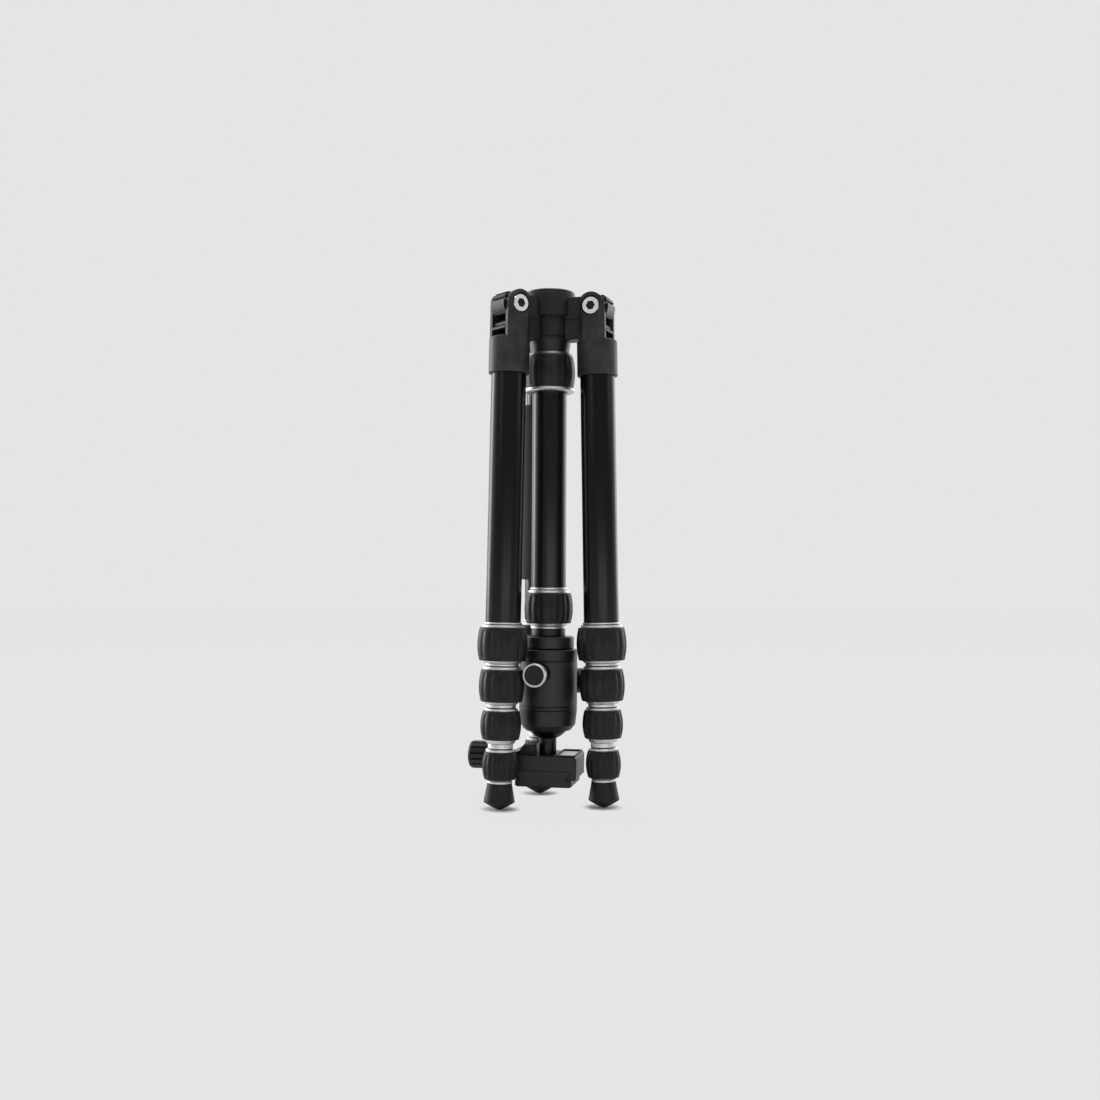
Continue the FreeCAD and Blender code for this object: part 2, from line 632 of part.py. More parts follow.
for number in (4, 3, 2, 1):
    tube = tube_radius(number)
    inner_tube = tube_radius(number + 1)
    lip = dim(f"lip_{number}_length")
    grip = dim(f"lock_{number}_length")
    flange = dim(f"flange_{number}_length")
    collar = dim(f"collar_{number}_length")
    outside = tube + dim(f"lock_{number}_proud")
    lip_low = reach + turn_gap
    grip_low = lip_low + lip
    grip_high = grip_low + grip
    flange_low = grip_high + turn_gap
    flange_high = flange_low + flange
    collar_high = flange_high + collar
    sleeve_low = grip_high - grip * dim("sleeve_depth_share")
    sleeve = tube + dim("thread_wall")
    core = outside - dim("rubber_wall")

    nut = lock_nut(f"lock_{number}_nut", sleeve, core - bond, inner_tube, lip_low, lip, grip_high)
    rubber = new_body(f"lock_{number}_grip")
    barrel_grip(rubber, core, outside, grip_low, grip_high)
    leg_parts[f"lock_{number}"] = [nut, rubber]

    ferrule = turned_body(f"tube_{number}_ferrule", [
        (tube + bond, sleeve_low), (sleeve, sleeve_low), (sleeve, flange_low),
        (tube + dim("flange_proud"), flange_low), (tube + dim("flange_proud"), flange_high),
        (tube + dim("collar_proud"), flange_high), (tube + dim("collar_proud"), collar_high),
        (tube + bond, collar_high),
    ])
    collet = turned_body(f"tube_{number}_collet", [
        (inner_tube + dim("sleeve_fit"), grip_low + dim("collet_clear")),
        (tube - turn_gap, grip_low + dim("collet_clear")),
        (tube, sleeve_low - turn_gap),
        (inner_tube + dim("sleeve_fit"), sleeve_low - turn_gap),
    ])
    leg_parts[f"tube_{number}"] = {"low": sleeve_low, "trim": [ferrule, collet]}
    reach = collar_high

cup_low = dim("leg_length") - dim("pivot_above_cup")
tube_top = cup_low + dim("socket_depth")
leg_parts["tube_5"] = {"low": dim("foot_socket_floor"), "trim": []}

for number in (1, 2, 3, 4, 5):
    tube = tube_radius(number)
    low = leg_parts[f"tube_{number}"]["low"]
    high = tube_top - (number - 1) * dim("nest_step")
    pieces = [turned_body(f"tube_{number}_pipe", ring(tube - dim("tube_wall"), tube, low, high))]
    if number > 1:
        guide = dim("tube_gap") - dim("sleeve_fit")
        pieces.append(turned_body(
            f"tube_{number}_guide",
            ring(tube + bond, tube + guide, high - dim("sleeve_length"), high),
        ))
    leg_parts[f"tube_{number}"] = pieces + leg_parts[f"tube_{number}"]["trim"]

# Foot: a flared rubber shoe with a conical point, and the polished ring above it

foot_ring_low = dim("foot_length")
foot_shoulder = dim("foot_point_length")
foot_rubber = turned_body("foot_rubber", [
    (0, 0), (dim("foot_tip_radius"), 0),
    Mid((dim("foot_radius") + dim("foot_tip_radius")) / 2, dim("foot_bulge")),
    (dim("foot_radius") - dim("foot_edge_in"), foot_shoulder - dim("foot_edge_low")),
    (dim("foot_radius"), foot_shoulder + dim("foot_edge_high")),
    (dim("foot_neck_radius"), foot_ring_low), (tube_radius(5) + bond, foot_ring_low),
    (tube_radius(5) + bond, dim("foot_socket_floor") - bond), (0, dim("foot_socket_floor") - bond),
])
foot_ring = turned_body("foot_ring", ring(
    tube_radius(5) + bond, dim("foot_ring_radius"), foot_ring_low,
    foot_ring_low + dim("foot_ring_length"), dim("foot_ring_edge"),
))
leg_parts["foot"] = [foot_rubber, foot_ring]

# Yoke: the casting that holds the leg tube and straddles the arm of the hub

pivot = dim("leg_length")
cup_radius = dim("cup_radius")
cup_high = cup_low + dim("cup_length")
fork_floor = cup_high + dim("cup_bevel")
ear_inner = dim("ear_outer") - dim("ear_wall")

yoke = new_body("yoke_casting")
turn_profile(yoke, [
    (tube_radius(1) + bond, cup_low), (cup_radius - small_bevel, cup_low),
    (cup_radius, cup_low + small_bevel),
    (cup_radius, cup_high), (cup_radius - dim("cup_bevel"), fork_floor), (0, fork_floor),
    (0, tube_top + bond), (tube_radius(1) + bond, tube_top + bond),
])
ear_foot = tube_top + bond
ear = dim("ear_radius")
pad(yoke, "XZ_Plane", [
    (-ear, ear_foot), (ear, ear_foot), (ear, pivot), Mid(0, pivot + ear), (-ear, pivot),
], 2 * dim("ear_outer"), both_ways=True)
cut(yoke, "XZ_Plane", [
    (-cup_radius - room, fork_floor), (cup_radius + room, fork_floor),
    (cup_radius + room, pivot + ear + room), (-cup_radius - room, pivot + ear + room),
], 2 * ear_inner, both_ways=True)
doc.recompute()
uncut = yoke.Shape.Volume
check_cut(yoke, uncut, turn_profile(yoke, [
    (cup_radius, ear_foot), (2 * cup_radius, ear_foot), (2 * cup_radius, pivot + ear + room),
    (cup_radius, pivot + ear + room),
], "PartDesign::Groove", "trimmed"))
bore(yoke, "XZ_Plane", 0, pivot, dim("bolt_barrel_radius") + dim("pin_fit"),
     2 * (dim("ear_outer") + room), both_ways=True)
recess_floor = dim("ear_outer") - dim("bolt_recess")
recess_radius = dim("bolt_head_radius") + dim("bolt_recess_play")
recess_cut = dim("bolt_recess") + room
bore(yoke, "XZ_Plane", 0, pivot, recess_radius, recess_cut, offset=recess_floor, reverse=True)
bore(yoke, "XZ_Plane", 0, pivot, recess_radius, recess_cut, offset=-recess_floor)

# Angle pawl and its spring, in the fork of the yoke

pawl_tip = pivot - dim("nose_radius") - dim("pawl_gap")
pawl_low = pawl_tip - dim("pawl_height")
pawl = new_body("pawl_block")
pad(pawl, "XZ_Plane", [
    (-dim("pawl_inner"), pawl_low), (dim("pawl_outer") + dim("pawl_ledge"), pawl_low),
    (dim("pawl_outer") + dim("pawl_ledge"), pawl_low + dim("pawl_ledge")),
    (dim("pawl_outer"), pawl_low + 2 * dim("pawl_ledge")),
    (dim("pawl_outer"), pawl_tip - dim("pawl_ledge")), (dim("pawl_outer") - dim("pawl_ledge"), pawl_tip),
    (-dim("pawl_inner"), pawl_tip),
], 2 * (ear_inner - turn_gap), both_ways=True)
bore(pawl, "XY_Plane", 0, 0, dim("pawl_bore_radius"), dim("pawl_height") - dim("pawl_roof"),
     offset=pawl_low, reverse=True)

spring = new_body("pawl_spring")
spring_sketch = new_sketch(spring, "XZ_Plane")
spring_start = fork_floor + dim("spring_clear") + dim("spring_wire") / 2
draw_circle(spring_sketch, dim("spring_radius"), spring_start, dim("spring_wire") / 2)
coil = spring.newObject("PartDesign::AdditiveHelix", "pawl_spring_coil")
coil.Profile = spring_sketch
coil.ReferenceAxis = (spring_sketch, ["V_Axis"])
coil.Mode = "pitch-height-angle"
coil.setExpression("Pitch", dim("spring_pitch").text)
coil.setExpression("Height", (dim("spring_length") - dim("spring_wire")).text)
spring_sketch.Visibility = False

leg_parts["yoke"] = [yoke, spring]
leg_parts["angle_pawl"] = [pawl]

# Foam on the rear leg tube

foam_high = dim("foam_low") + dim("foam_length")
foam_outer = tube_radius(1) + dim("foam_wall")
foam = turned_body("foam_sleeve", ring(
    tube_radius(1) + bond, foam_outer, dim("foam_low"), foam_high, dim("foam_edge")
))

LEG_PIECES = ["yoke", "angle_pawl", "foot"] + [f"tube_{n}" for n in (1, 2, 3, 4, 5)]
LEG_PIECES += [f"lock_{n}" for n in (1, 2, 3, 4)]

for leg, direction in LEGS.items():
    for piece in LEG_PIECES:
        sub_part(f"{leg}_{piece}", leg_parts[piece], leg_frame(direction))
sub_part("foam_grip", [foam], leg_frame(LEGS["rear_leg"]))

# Pivot bolts and washers, one barrel and one screw to each leg

head_floor = recess_floor + dim("washer_play")
head_top = head_floor + dim("bolt_head_height")
barrel = dim("bolt_barrel_radius")
screw = dim("bolt_screw_radius")
bolt_head = dim("bolt_head_radius")
bolt_edge = dim("bolt_edge")
shank_end = dim("bolt_shank_length") - recess_floor


def hex_socket(body, offset, reverse):
    """A hexagon socket cut into a bolt's head."""
    half = dim("hex_width") / 2
    corner = dim("hex_width") * (1 / math.sqrt(3))
    cut(body, "XY_Plane", [
        (corner, 0), (corner / 2, half), (-corner / 2, half),
        (-corner, 0), (-corner / 2, -half), (corner / 2, -half),
    ], dim("hex_depth"), offset=offset, reverse=reverse)


bolt_barrel = new_body("bolt_barrel")
turn_profile(bolt_barrel, [
    (0, 0), (screw + dim("pin_fit"), 0), (screw + dim("pin_fit"), shank_end), (barrel, shank_end),
    (barrel, head_floor), (bolt_head, head_floor), (bolt_head, head_top - bolt_edge),
    (bolt_head - bolt_edge, head_top), (0, head_top),
])
hex_socket(bolt_barrel, head_top, False)
bolt_screw = new_body("bolt_screw")
turn_profile(bolt_screw, [
    (0, -turn_gap), (screw, -turn_gap), (screw, shank_end - turn_gap), (barrel, shank_end - turn_gap),
    (barrel, -head_floor), (bolt_head, -head_floor), (bolt_head, bolt_edge - head_top),
    (bolt_head - bolt_edge, -head_top), (0, -head_top),
])
hex_socket(bolt_screw, -head_top, True)
washer_middle = ear_inner - dim("washer_play") - dim("washer_thickness") / 2
washers = [
    turned_body(f"washer_{side}", ring(
        barrel + dim("pin_fit"), dim("washer_radius"),
        middle - dim("washer_thickness") / 2, middle + dim("washer_thickness") / 2,
    ))
    for side, middle in (("left", washer_middle), ("right", -washer_middle))
]


def pivot_frame(direction):
    """The frame of a pivot: origin on the leg's pivot, +Z along the pivot axis."""
    upright = math.cos(math.radians(dim("leg_lean").number)) * dim("leg_length").number
    at_pivot = Vector(dim("pivot_radius").number, 0, upright)
    return Placement(Vector(), Rotation(Vector(0, 0, 1), direction)) * Placement(
        at_pivot, Rotation(Vector(1, 0, 0), -90)
    )


sub_part("pivot_bolts", [
    placed(f"{leg}_bolt", [bolt_barrel, bolt_screw], pivot_frame(direction))
    for leg, direction in LEGS.items()
])
sub_part("pivot_washers", [
    placed(f"{leg}_washers", washers, pivot_frame(direction)) for leg, direction in LEGS.items()
])

# Hub with its three arms

column = dim("column_diameter") / 2
liner = column + dim("pin_fit")
hub_bore = liner + dim("liner_wall")
pivot_height = dim("leg_length") * math.cos(math.radians(NUMBERS["leg_lean"]))
hub_top = pivot_height + dim("hub_rise")
hub_step = hub_top - dim("hub_cylinder_length")
neck_foot = hub_step - dim("hub_neck_length")
neck_end = neck_foot - dim("hub_taper_length")
thread_end = neck_end - dim("hub_thread_depth")
neck = dim("hub_neck_radius")
groove_height = neck_foot + dim("neck_groove_rise")
groove = dim("neck_groove")
bevel = dim("hub_bevel")
arm_half = ear_inner - dim("washer_thickness") - 2 * dim("washer_play")
cap_recess = dim("cap_height")

hub = new_body("hub_casting")
turn_profile(hub, [
    (hub_bore, thread_end), (dim("hub_thread_radius"), thread_end),
    (dim("hub_thread_radius"), neck_end), (dim("hub_collar_radius"), neck_end),
    (neck, neck_foot), (neck, groove_height), (neck - groove, groove_height + groove),
    (neck, groove_height + 2 * groove), (neck, hub_step),
    (dim("hub_radius") - bevel, hub_step), (dim("hub_radius"), hub_step + bevel),
    (dim("hub_radius"), hub_top - cap_recess - bevel), (dim("hub_radius") - bevel, hub_top - cap_recess),
    (hub_bore, hub_top - cap_recess),
])
for index in range(3):
    arm = new_body(f"arm_{index}")
    nose = dim("nose_radius")
    chin = dim("arm_chin")
    top = dim("arm_top")
    out = dim("pivot_radius")
    nose_top = Size(
        math.sqrt(nose.number ** 2 - top.number ** 2), f"sqrt({nose.text}^2 - {top.text}^2)"
    )
    nose_chin = Size(
        math.sqrt(nose.number ** 2 - chin.number ** 2), f"sqrt({nose.text}^2 - {chin.text}^2)"
    )
    inside = hub_bore + dim("arm_root")
    web = dim("web_reach")
    web_bevel = dim("web_bevel")
    pad(arm, "XZ_Plane", [
        (inside, pivot_height - chin), (out + nose_chin, pivot_height - chin),
        Mid(out + nose, pivot_height), (out + nose_top, pivot_height + top), (inside, pivot_height + top),
    ], 2 * arm_half, both_ways=True)
    pad(arm, "XZ_Plane", [
        (inside, neck_foot), (web - web_bevel, neck_foot), (web, neck_foot + web_bevel),
        (web, pivot_height - chin), (inside, pivot_height - chin),
    ], 2 * dim("web_half_width"), both_ways=True)
    bore(arm, "XZ_Plane", out, pivot_height, barrel + bond, 2 * dim("ear_outer"), both_ways=True)
    for stop in ("stop_1_angle", "stop_2_angle"):
        across = math.radians(NUMBERS[stop] - 90)
        middle = nose - dim("stop_depth") / 2 + room
        half_deep = dim("stop_depth") / 2 + room
        half_wide = dim("stop_width") / 2
        corners = []
        for along, aside in ((1, 1), (-1, 1), (-1, -1), (1, -1)):
            deep = middle + along * half_deep
            corners.append((
                out + deep * math.cos(across) - aside * half_wide * math.sin(across),
                pivot_height + deep * math.sin(across) + aside * half_wide * math.cos(across),
            ))
        cut(arm, "XZ_Plane", corners, 2 * dim("ear_outer"), both_ways=True)
    arm.Placement = Placement(Vector(), Rotation(Vector(0, 0, 1), list(LEGS.values())[index]))

spider = doc.addObject("Part::MultiFuse", "spider_fused")
spider.Shapes = [hub] + [doc.getObject(f"arm_{index}") for index in range(3)]
spider.Refine = True
sub_part("spider", [spider])

liner_body = turned_body("liner_tube", ring(
    liner, hub_bore - bond, thread_end, hub_top - cap_recess - turn_gap
))
sub_part("hub_liner", [liner_body])

# End cap: it closes the column tube and rests on the hub

cap_plug = column - dim("column_wall") - turn_gap
cap_low = hub_top - cap_recess + bond
cap = turned_body("cap_disc", [
    (cap_plug - dim("cap_plug_wall"), cap_low - dim("cap_plug_length")),
    (cap_plug, cap_low - dim("cap_plug_length")), (cap_plug, cap_low),
    (dim("cap_radius"), cap_low), (dim("cap_radius"), hub_top - edge_bevel),
    (dim("cap_radius") - edge_bevel, hub_top), (0, hub_top), (0, cap_low),
    (cap_plug - dim("cap_plug_wall"), cap_low),
])
sub_part("column_end_cap", [cap])

# Column lock under the hub

lock_a_ring = dim("lock_a_ring")
lock_a_top = neck_end - turn_gap - lock_a_ring
lock_a_low = lock_a_top - dim("lock_a_length")
lock_a_core = dim("lock_a_radius") - dim("rubber_wall")
lock_a_thread = dim("hub_thread_radius") + turn_gap
lock_a_outer = dim("lock_a_radius")
lock_a_floor = lock_a_low - lock_a_ring
lock_a_nut = turned_body("lock_a_nut", [
    (column + turn_gap, lock_a_floor), (lock_a_outer - dim("lock_a_slope"), lock_a_floor),
    (lock_a_outer, lock_a_low - dim("lock_a_rim")), (lock_a_outer, lock_a_low),
    (lock_a_core - bond, lock_a_low), (lock_a_core - bond, lock_a_top),
    (lock_a_core + dim("lock_a_step"), lock_a_top),
    (lock_a_core, lock_a_top + lock_a_ring - dim("lock_a_edge")),
    (lock_a_core - small_bevel, lock_a_top + lock_a_ring), (lock_a_thread, lock_a_top + lock_a_ring),
    (lock_a_thread, lock_a_low + dim("lock_a_thread_floor")),
    (column + turn_gap, lock_a_low + dim("lock_a_floor_height")),
])
lock_a_grip = new_body("lock_a_grip")
barrel_grip(lock_a_grip, lock_a_core, lock_a_outer, lock_a_low + bond, lock_a_top - bond)
sub_part("column_lock", [lock_a_nut, lock_a_grip])

# Outer column tube with its ferrule

column_top = hub_top - cap_recess - turn_gap
column_bottom = column_top - dim("column_length")
lock_b_top = column_bottom + dim("lock_b_overlap")
flange_b = lock_b_top + turn_gap
collar_b = flange_b + dim("lock_b_flange")
column_pipe = turned_body("column_pipe", ring(
    column - dim("column_wall"), column, column_bottom, column_top
))
column_ferrule = turned_body("column_ferrule", [
    (column + bond, column_bottom), (column + dim("thread_wall"), column_bottom),
    (column + dim("thread_wall"), flange_b), (column + dim("flange_proud"), flange_b),
    (column + dim("flange_proud"), collar_b), (column + dim("collar_proud"), collar_b),
    (column + dim("collar_proud"), collar_b + dim("lock_b_collar")),
    (column + bond, collar_b + dim("lock_b_collar")),
])
inner_column = column - dim("column_wall") - dim("column_gap")
lock_b_low = lock_b_top - dim("lock_b_length")
column_collet_low = lock_b_low + dim("column_collet_rise")
column_collet = turned_body("column_collet", [
    (inner_column + dim("sleeve_fit"), column_collet_low), (column - turn_gap, column_collet_low),
    (column, column_bottom - turn_gap),
    (inner_column + dim("sleeve_fit"), column_bottom - turn_gap),
])
sub_part("column_tube", [column_pipe, column_ferrule, column_collet])

# Lock of the inner column

lock_b_core = dim("lock_b_radius") - dim("rubber_wall")
lip_b_low = lock_b_low - dim("lock_b_lip")
lock_b_nut = lock_nut(
    "lock_b_nut", column + dim("thread_wall"), lock_b_core - bond, inner_column,
    lip_b_low, dim("lock_b_lip"), lock_b_top,
)
lock_b_grip = new_body("lock_b_grip")
barrel_grip(lock_b_grip, lock_b_core, dim("lock_b_radius"), lock_b_low, lock_b_top)
sub_part("inner_column_lock", [lock_b_nut, lock_b_grip])

# Inner column, its polished collar and the mount that carries the head

collar_low = lip_b_low - turn_gap - dim("inner_collar_length")
inner_pipe = turned_body("inner_pipe", ring(
    inner_column - dim("column_wall"), inner_column, collar_low,
    collar_low + dim("inner_column_length"),
))
inner_collar = turned_body("inner_collar", ring(
    inner_column + bond, dim("inner_collar_radius"), collar_low, collar_low + dim("inner_collar_length")
))
sub_part("inner_column", [inner_pipe, inner_collar])

mount_low = collar_low - dim("mount_length")
plug_radius = inner_column - dim("column_wall") - bond
plug_top = collar_low + dim("mount_plug_length")
stud_end = mount_low - dim("stud_length")
mount = turned_body("mount_plug", [
    (0, mount_low), (dim("mount_radius") - small_bevel, mount_low),
    (dim("mount_radius"), mount_low + small_bevel), (dim("mount_radius"), collar_low),
    (plug_radius, collar_low), (plug_radius, plug_top), (0, plug_top),
])
stud = turned_body("mount_stud", [
    (0, stud_end), (dim("stud_radius") - edge_bevel, stud_end),
    (dim("stud_radius"), stud_end + edge_bevel), (dim("stud_radius"), mount_low), (0, mount_low),
])
sub_part("head_mount", [mount, stud])

# Ball head: panning base, housing, seat and ball

base_low = mount_low - dim("base_length")
base_outer = dim("base_radius")
base_bevel = dim("base_bevel")
base = turned_body("base_disc", [
    (dim("stud_radius") + bond, mount_low), (base_outer - base_bevel, mount_low),
    (base_outer, mount_low - base_bevel), (base_outer, base_low + base_bevel),
    (base_outer - base_bevel, base_low), (dim("stud_radius") + bond, base_low),
])
sub_part("head_base", [base])

housing = dim("housing_radius")
housing_top = base_low - turn_gap
housing_low = housing_top - dim("housing_length")
band_top = housing_low + dim("housing_band")
ball = dim("ball_radius")
ball_height = housing_low + dim("ball_above_mouth")
seat_bore = ball + dim("sleeve_fit")
seat_outer = seat_bore + dim("seat_wall")
cave_top = housing_top - dim("housing_floor")
cut_depth = dim("housing_groove")
upper = housing_top - dim("upper_groove_drop")
middle = housing_top - dim("middle_groove_drop")
lower = middle - dim("groove_step")
cave = housing - dim("housing_wall")
mouth = dim("ball_opening_radius")
shelf_low = housing_low + dim("opening_edge")
shelf_high = shelf_low + dim("opening_shelf")
seat_low = ball_height - dim("seat_lower")


def groove_points(radius, height, depth):
    """Three points of a small V groove round a cylinder, from the top down."""
    return [(radius, height + depth), (radius - depth, height), (radius, height - depth)]


housing_body = new_body("housing_shell")
turn_profile(housing_body, [
    (0, cave_top), (0, housing_top), (housing - edge_bevel, housing_top),
    (housing, housing_top - edge_bevel),
    *groove_points(housing, upper, cut_depth),
    *groove_points(housing, middle, cut_depth),
    *groove_points(housing, lower, cut_depth),
    (housing, band_top), (dim("housing_lip_radius"), housing_low + dim("housing_lip_length")),
    (dim("housing_mouth_radius"), housing_low), (mouth, housing_low), (mouth, shelf_low),
    (cave - room, shelf_high), (cave, seat_low - room), (cave, cave_top - room),
    (cave - room, cave_top),
])
seat_body = doc.addObject("Part::Feature", "ball_seat_shell")


def seat_ring(inner, outer, low, high):
    """A band of a spherical shell, cut flat at both ends."""
    shell = Part.makeSphere(outer).cut(Part.makeSphere(inner))
    band = Part.makeCylinder(2 * outer, high - low, Vector(0, 0, low))
    return shell.common(band)


seat_body.Shape = seat_ring(
    seat_bore.number, seat_outer.number, -dim("seat_lower").number, dim("seat_upper").number
)
seat_body.Placement = Placement(Vector(0, 0, ball_height.number), Rotation())
sub_part("ball_seat", [seat_body])

clamp_top = ball_height - dim("stem_reach")
stem = dim("stem_radius")
stem_foot = stem - dim("stem_step")
stem_end = clamp_top - dim("stem_socket")
reach_down = Size(
    math.sqrt(ball.number ** 2 - stem.number ** 2), f"sqrt({ball.text}^2 - {stem.text}^2)"
)
ball_body = turned_body("ball_and_stem", [
    (0, stem_end), (stem_foot, stem_end), (stem_foot, clamp_top), (stem, clamp_top + turn_gap),
    (stem, ball_height - reach_down), Mid(ball, ball_height), (0, ball_height + ball),
])
sub_part("ball", [ball_body])

# Pan lock and ball lock knobs, each on a shaft in the housing


def radial_frame(direction, height):
    """A frame with +Z pointing away from the column at a height."""
    return Placement(Vector(0, 0, height), Rotation(Vector(0, 0, 1), direction)) * Placement(
        Vector(), Rotation(Vector(0, 1, 0), 90)
    )


def shaft_hole(direction, height, reach):
    """The blind hole in the housing for a knob's shaft, as a solid to cut away."""
    hole = doc.addObject("Part::Cylinder", f"{reach}_hole")
    hole.setExpression("Radius", (dim("knob_shaft_radius") + dim("pin_fit")).text)
    hole.setExpression("Height", (dim("knob_shaft_depth") + turn_gap + room).text)
    inner = housing.number - dim("knob_shaft_depth").number - turn_gap.number
    frame = radial_frame(direction.number, height.number)
    hole.Placement = frame * Placement(Vector(0, 0, inner), Rotation())
    hole.Visibility = False
    return hole


def seat_flat(direction, height, radius, start):
    """The flat seat that a knob faces, as a solid to cut away from the housing's side."""
    flat = doc.addObject("Part::Cylinder", f"flat_{int(direction.number)}")
    flat.setExpression("Radius", radius.text)
    flat.setExpression("Height", (dim("knob_flat_depth") + room).text)
    frame = radial_frame(direction.number, height.number)
    flat.Placement = frame * Placement(Vector(0, 0, start.number), Rotation())
    flat.Visibility = False
    return flat


pan_angle = dim("pan_knob_angle")
pan_height = housing_top - dim("pan_knob_drop")
lock_angle = dim("ball_knob_angle")
lock_height = housing_top - dim("ball_knob_drop")
flat_depth = housing - dim("knob_flat_depth")
flat_play = dim("knob_flat_play")
cutters = doc.addObject("Part::MultiFuse", "housing_cutters")
cutters.Shapes = [
    shaft_hole(pan_angle, pan_height, "pan"),
    shaft_hole(lock_angle, lock_height, "ball"),
    seat_flat(pan_angle, pan_height, dim("pan_knob_neck") + flat_play, flat_depth),
    seat_flat(lock_angle, lock_height, dim("ball_knob_radius") + flat_play, flat_depth),
]
drilled = doc.addObject("Part::Cut", "housing_drilled")
drilled.Base = housing_body
drilled.Tool = cutters
sub_part("head_housing", [drilled])

shaft = dim("knob_shaft_radius")
shaft_start = housing - dim("knob_shaft_depth")
pan_neck = dim("pan_knob_neck")
pan_rim = dim("pan_knob_radius")
face = dim("pan_knob_reach")
rim_start = face - dim("pan_knob_rim")
neck_start = flat_depth + turn_gap
disc = dim("pan_disc_radius")
disc_floor = face - dim("pan_face_depth")
pan_body = turned_body("pan_knob_body", [
    (0, shaft_start), (shaft, shaft_start), (shaft, neck_start), (pan_neck, neck_start),
    (pan_neck, rim_start - dim("pan_flare")), (pan_rim, rim_start), (pan_rim, face - small_bevel),
    (pan_rim - small_bevel, face), (disc + bond, face), (disc + bond, disc_floor), (0, disc_floor),
])
pan_disc = turned_body("pan_knob_disc", [
    (0, disc_floor + bond), (disc, disc_floor + bond), (disc, face - dim("pan_disc_sink")),
    (0, face - dim("pan_disc_sink")),
])
sub_part("pan_lock_knob", [pan_body, pan_disc], radial_frame(pan_angle.number, pan_height.number))


def ribbed_knob(body, radius, low, high):
    """Fine grooves along a knob, repeated round it."""
    doc.recompute()
    before = body.Shape.Volume
    sketch = new_sketch(body, "XY_Plane", low)
    rib = dim("knob_rib_radius")
    draw_circle(sketch, radius + rib - dim("knob_rib_depth"), 0, rib)
    rib_cut = extrude(body, "PartDesign::Pocket", sketch, high - low, reverse=True)
    check_cut(body, before, rib_cut)
    repeat_round(body, rib_cut, dim("knob_rib_count"))


lock_start = dim("ball_knob_start")
lock_face = dim("ball_knob_reach")
lock_radius = dim("ball_knob_radius")
lock_hub = lock_radius - dim("ball_knob_hub")
lock_bevel = dim("ball_knob_bevel")
lock_round = dim("ball_knob_round")
rib_end = dim("knob_rib_end")
ball_knob = turned_body("ball_knob_body", [
    (0, shaft_start), (shaft, shaft_start), (shaft, flat_depth + turn_gap),
    (lock_hub, flat_depth + turn_gap), (lock_hub, lock_start), (lock_radius - lock_bevel, lock_start),
    (lock_radius, lock_start + lock_bevel), (lock_radius, lock_face - lock_round),
    (lock_radius - lock_round, lock_face),
    (0, lock_face),
])
ribbed_knob(ball_knob, lock_radius, lock_start - rib_end, lock_face - lock_round - 2 * rib_end)
sub_part("ball_lock_knob", [ball_knob], radial_frame(lock_angle.number, lock_height.number))

# Clamp: body with the fixed jaw, moving jaw, and the knob that draws it in

clamp_frame = Placement(Vector(), Rotation(Vector(0, 0, 1), dim("clamp_angle").number))
half_length = dim("clamp_half_length")
half_width = dim("clamp_half_width")
floor = clamp_top - dim("clamp_thickness")
lip = dim("jaw_lip")
root = dim("jaw_root")
jaw_low = floor - dim("jaw_drop")
jaw_start = half_length - dim("jaw_wall")
lip_top = jaw_low + dim("jaw_lip_edge")
root_low = lip_top + dim("jaw_slope")
corner = dim("clamp_bevel")
screw_height = clamp_top - dim("screw_drop")


def end_chamfer(body, reach_to, half):
    """Bevel the upright edges at one end of a clamp piece."""
    dress_edges(body, "Chamfer", corner, lambda edge: (
        abs(edge.CenterOfMass.x - reach_to.number) < 0.01
        and abs(abs(edge.CenterOfMass.y) - half.number) < 0.01
        and edge.BoundBox.XLength < 0.01
    ))


boss_near = dim("boss_near")
clamp = new_body("clamp_casting")
pad(clamp, "XZ_Plane", [
    (turn_gap - jaw_start, floor), (root, floor), (root, root_low), (lip, lip_top),
    (lip, jaw_low), (half_length - corner, jaw_low), (half_length, jaw_low + corner),
    (half_length, clamp_top - corner), (half_length - corner, clamp_top), (turn_gap - jaw_start, clamp_top),
], 2 * half_width, both_ways=True)
pad(clamp, "XZ_Plane", [
    (turn_gap - jaw_start, clamp_top - room), (-boss_near, clamp_top - room),
    (-boss_near, clamp_top + dim("boss_height")),
    (-boss_near - dim("boss_crest"), clamp_top + dim("boss_height")),
    (turn_gap - jaw_start, clamp_top + dim("boss_end_height")),
], 2 * dim("boss_half_width"), both_ways=True)
end_chamfer(clamp, half_length, half_width)
bore(clamp, "XY_Plane", 0, 0, stem_foot + bond, dim("stem_socket") + bond, offset=clamp_top)
bore(clamp, "YZ_Plane", 0, screw_height, dim("clamp_screw_radius") + dim("pin_fit"),
     dim("clamp_screw_depth"), offset=turn_gap - jaw_start, reverse=True)
sub_part("clamp_body", [clamp], clamp_frame)

jaw_half = dim("jaw_half_width")
jaw = new_body("jaw_block")
pad(jaw, "XZ_Plane", [
    (-half_length, jaw_low + corner), (corner - half_length, jaw_low), (-lip, jaw_low),
    (-lip, lip_top), (-root, root_low), (-root, floor), (-jaw_start, floor),
    (-jaw_start, clamp_top + dim("jaw_crown")), (-half_length, clamp_top + dim("jaw_rise")),
], 2 * jaw_half, both_ways=True)
end_chamfer(jaw, -half_length, jaw_half)
bore(jaw, "YZ_Plane", 0, screw_height, dim("clamp_screw_radius") + turn_gap, half_length, both_ways=True,
     offset=-half_length)
sub_part("clamp_jaw", [jaw], clamp_frame)

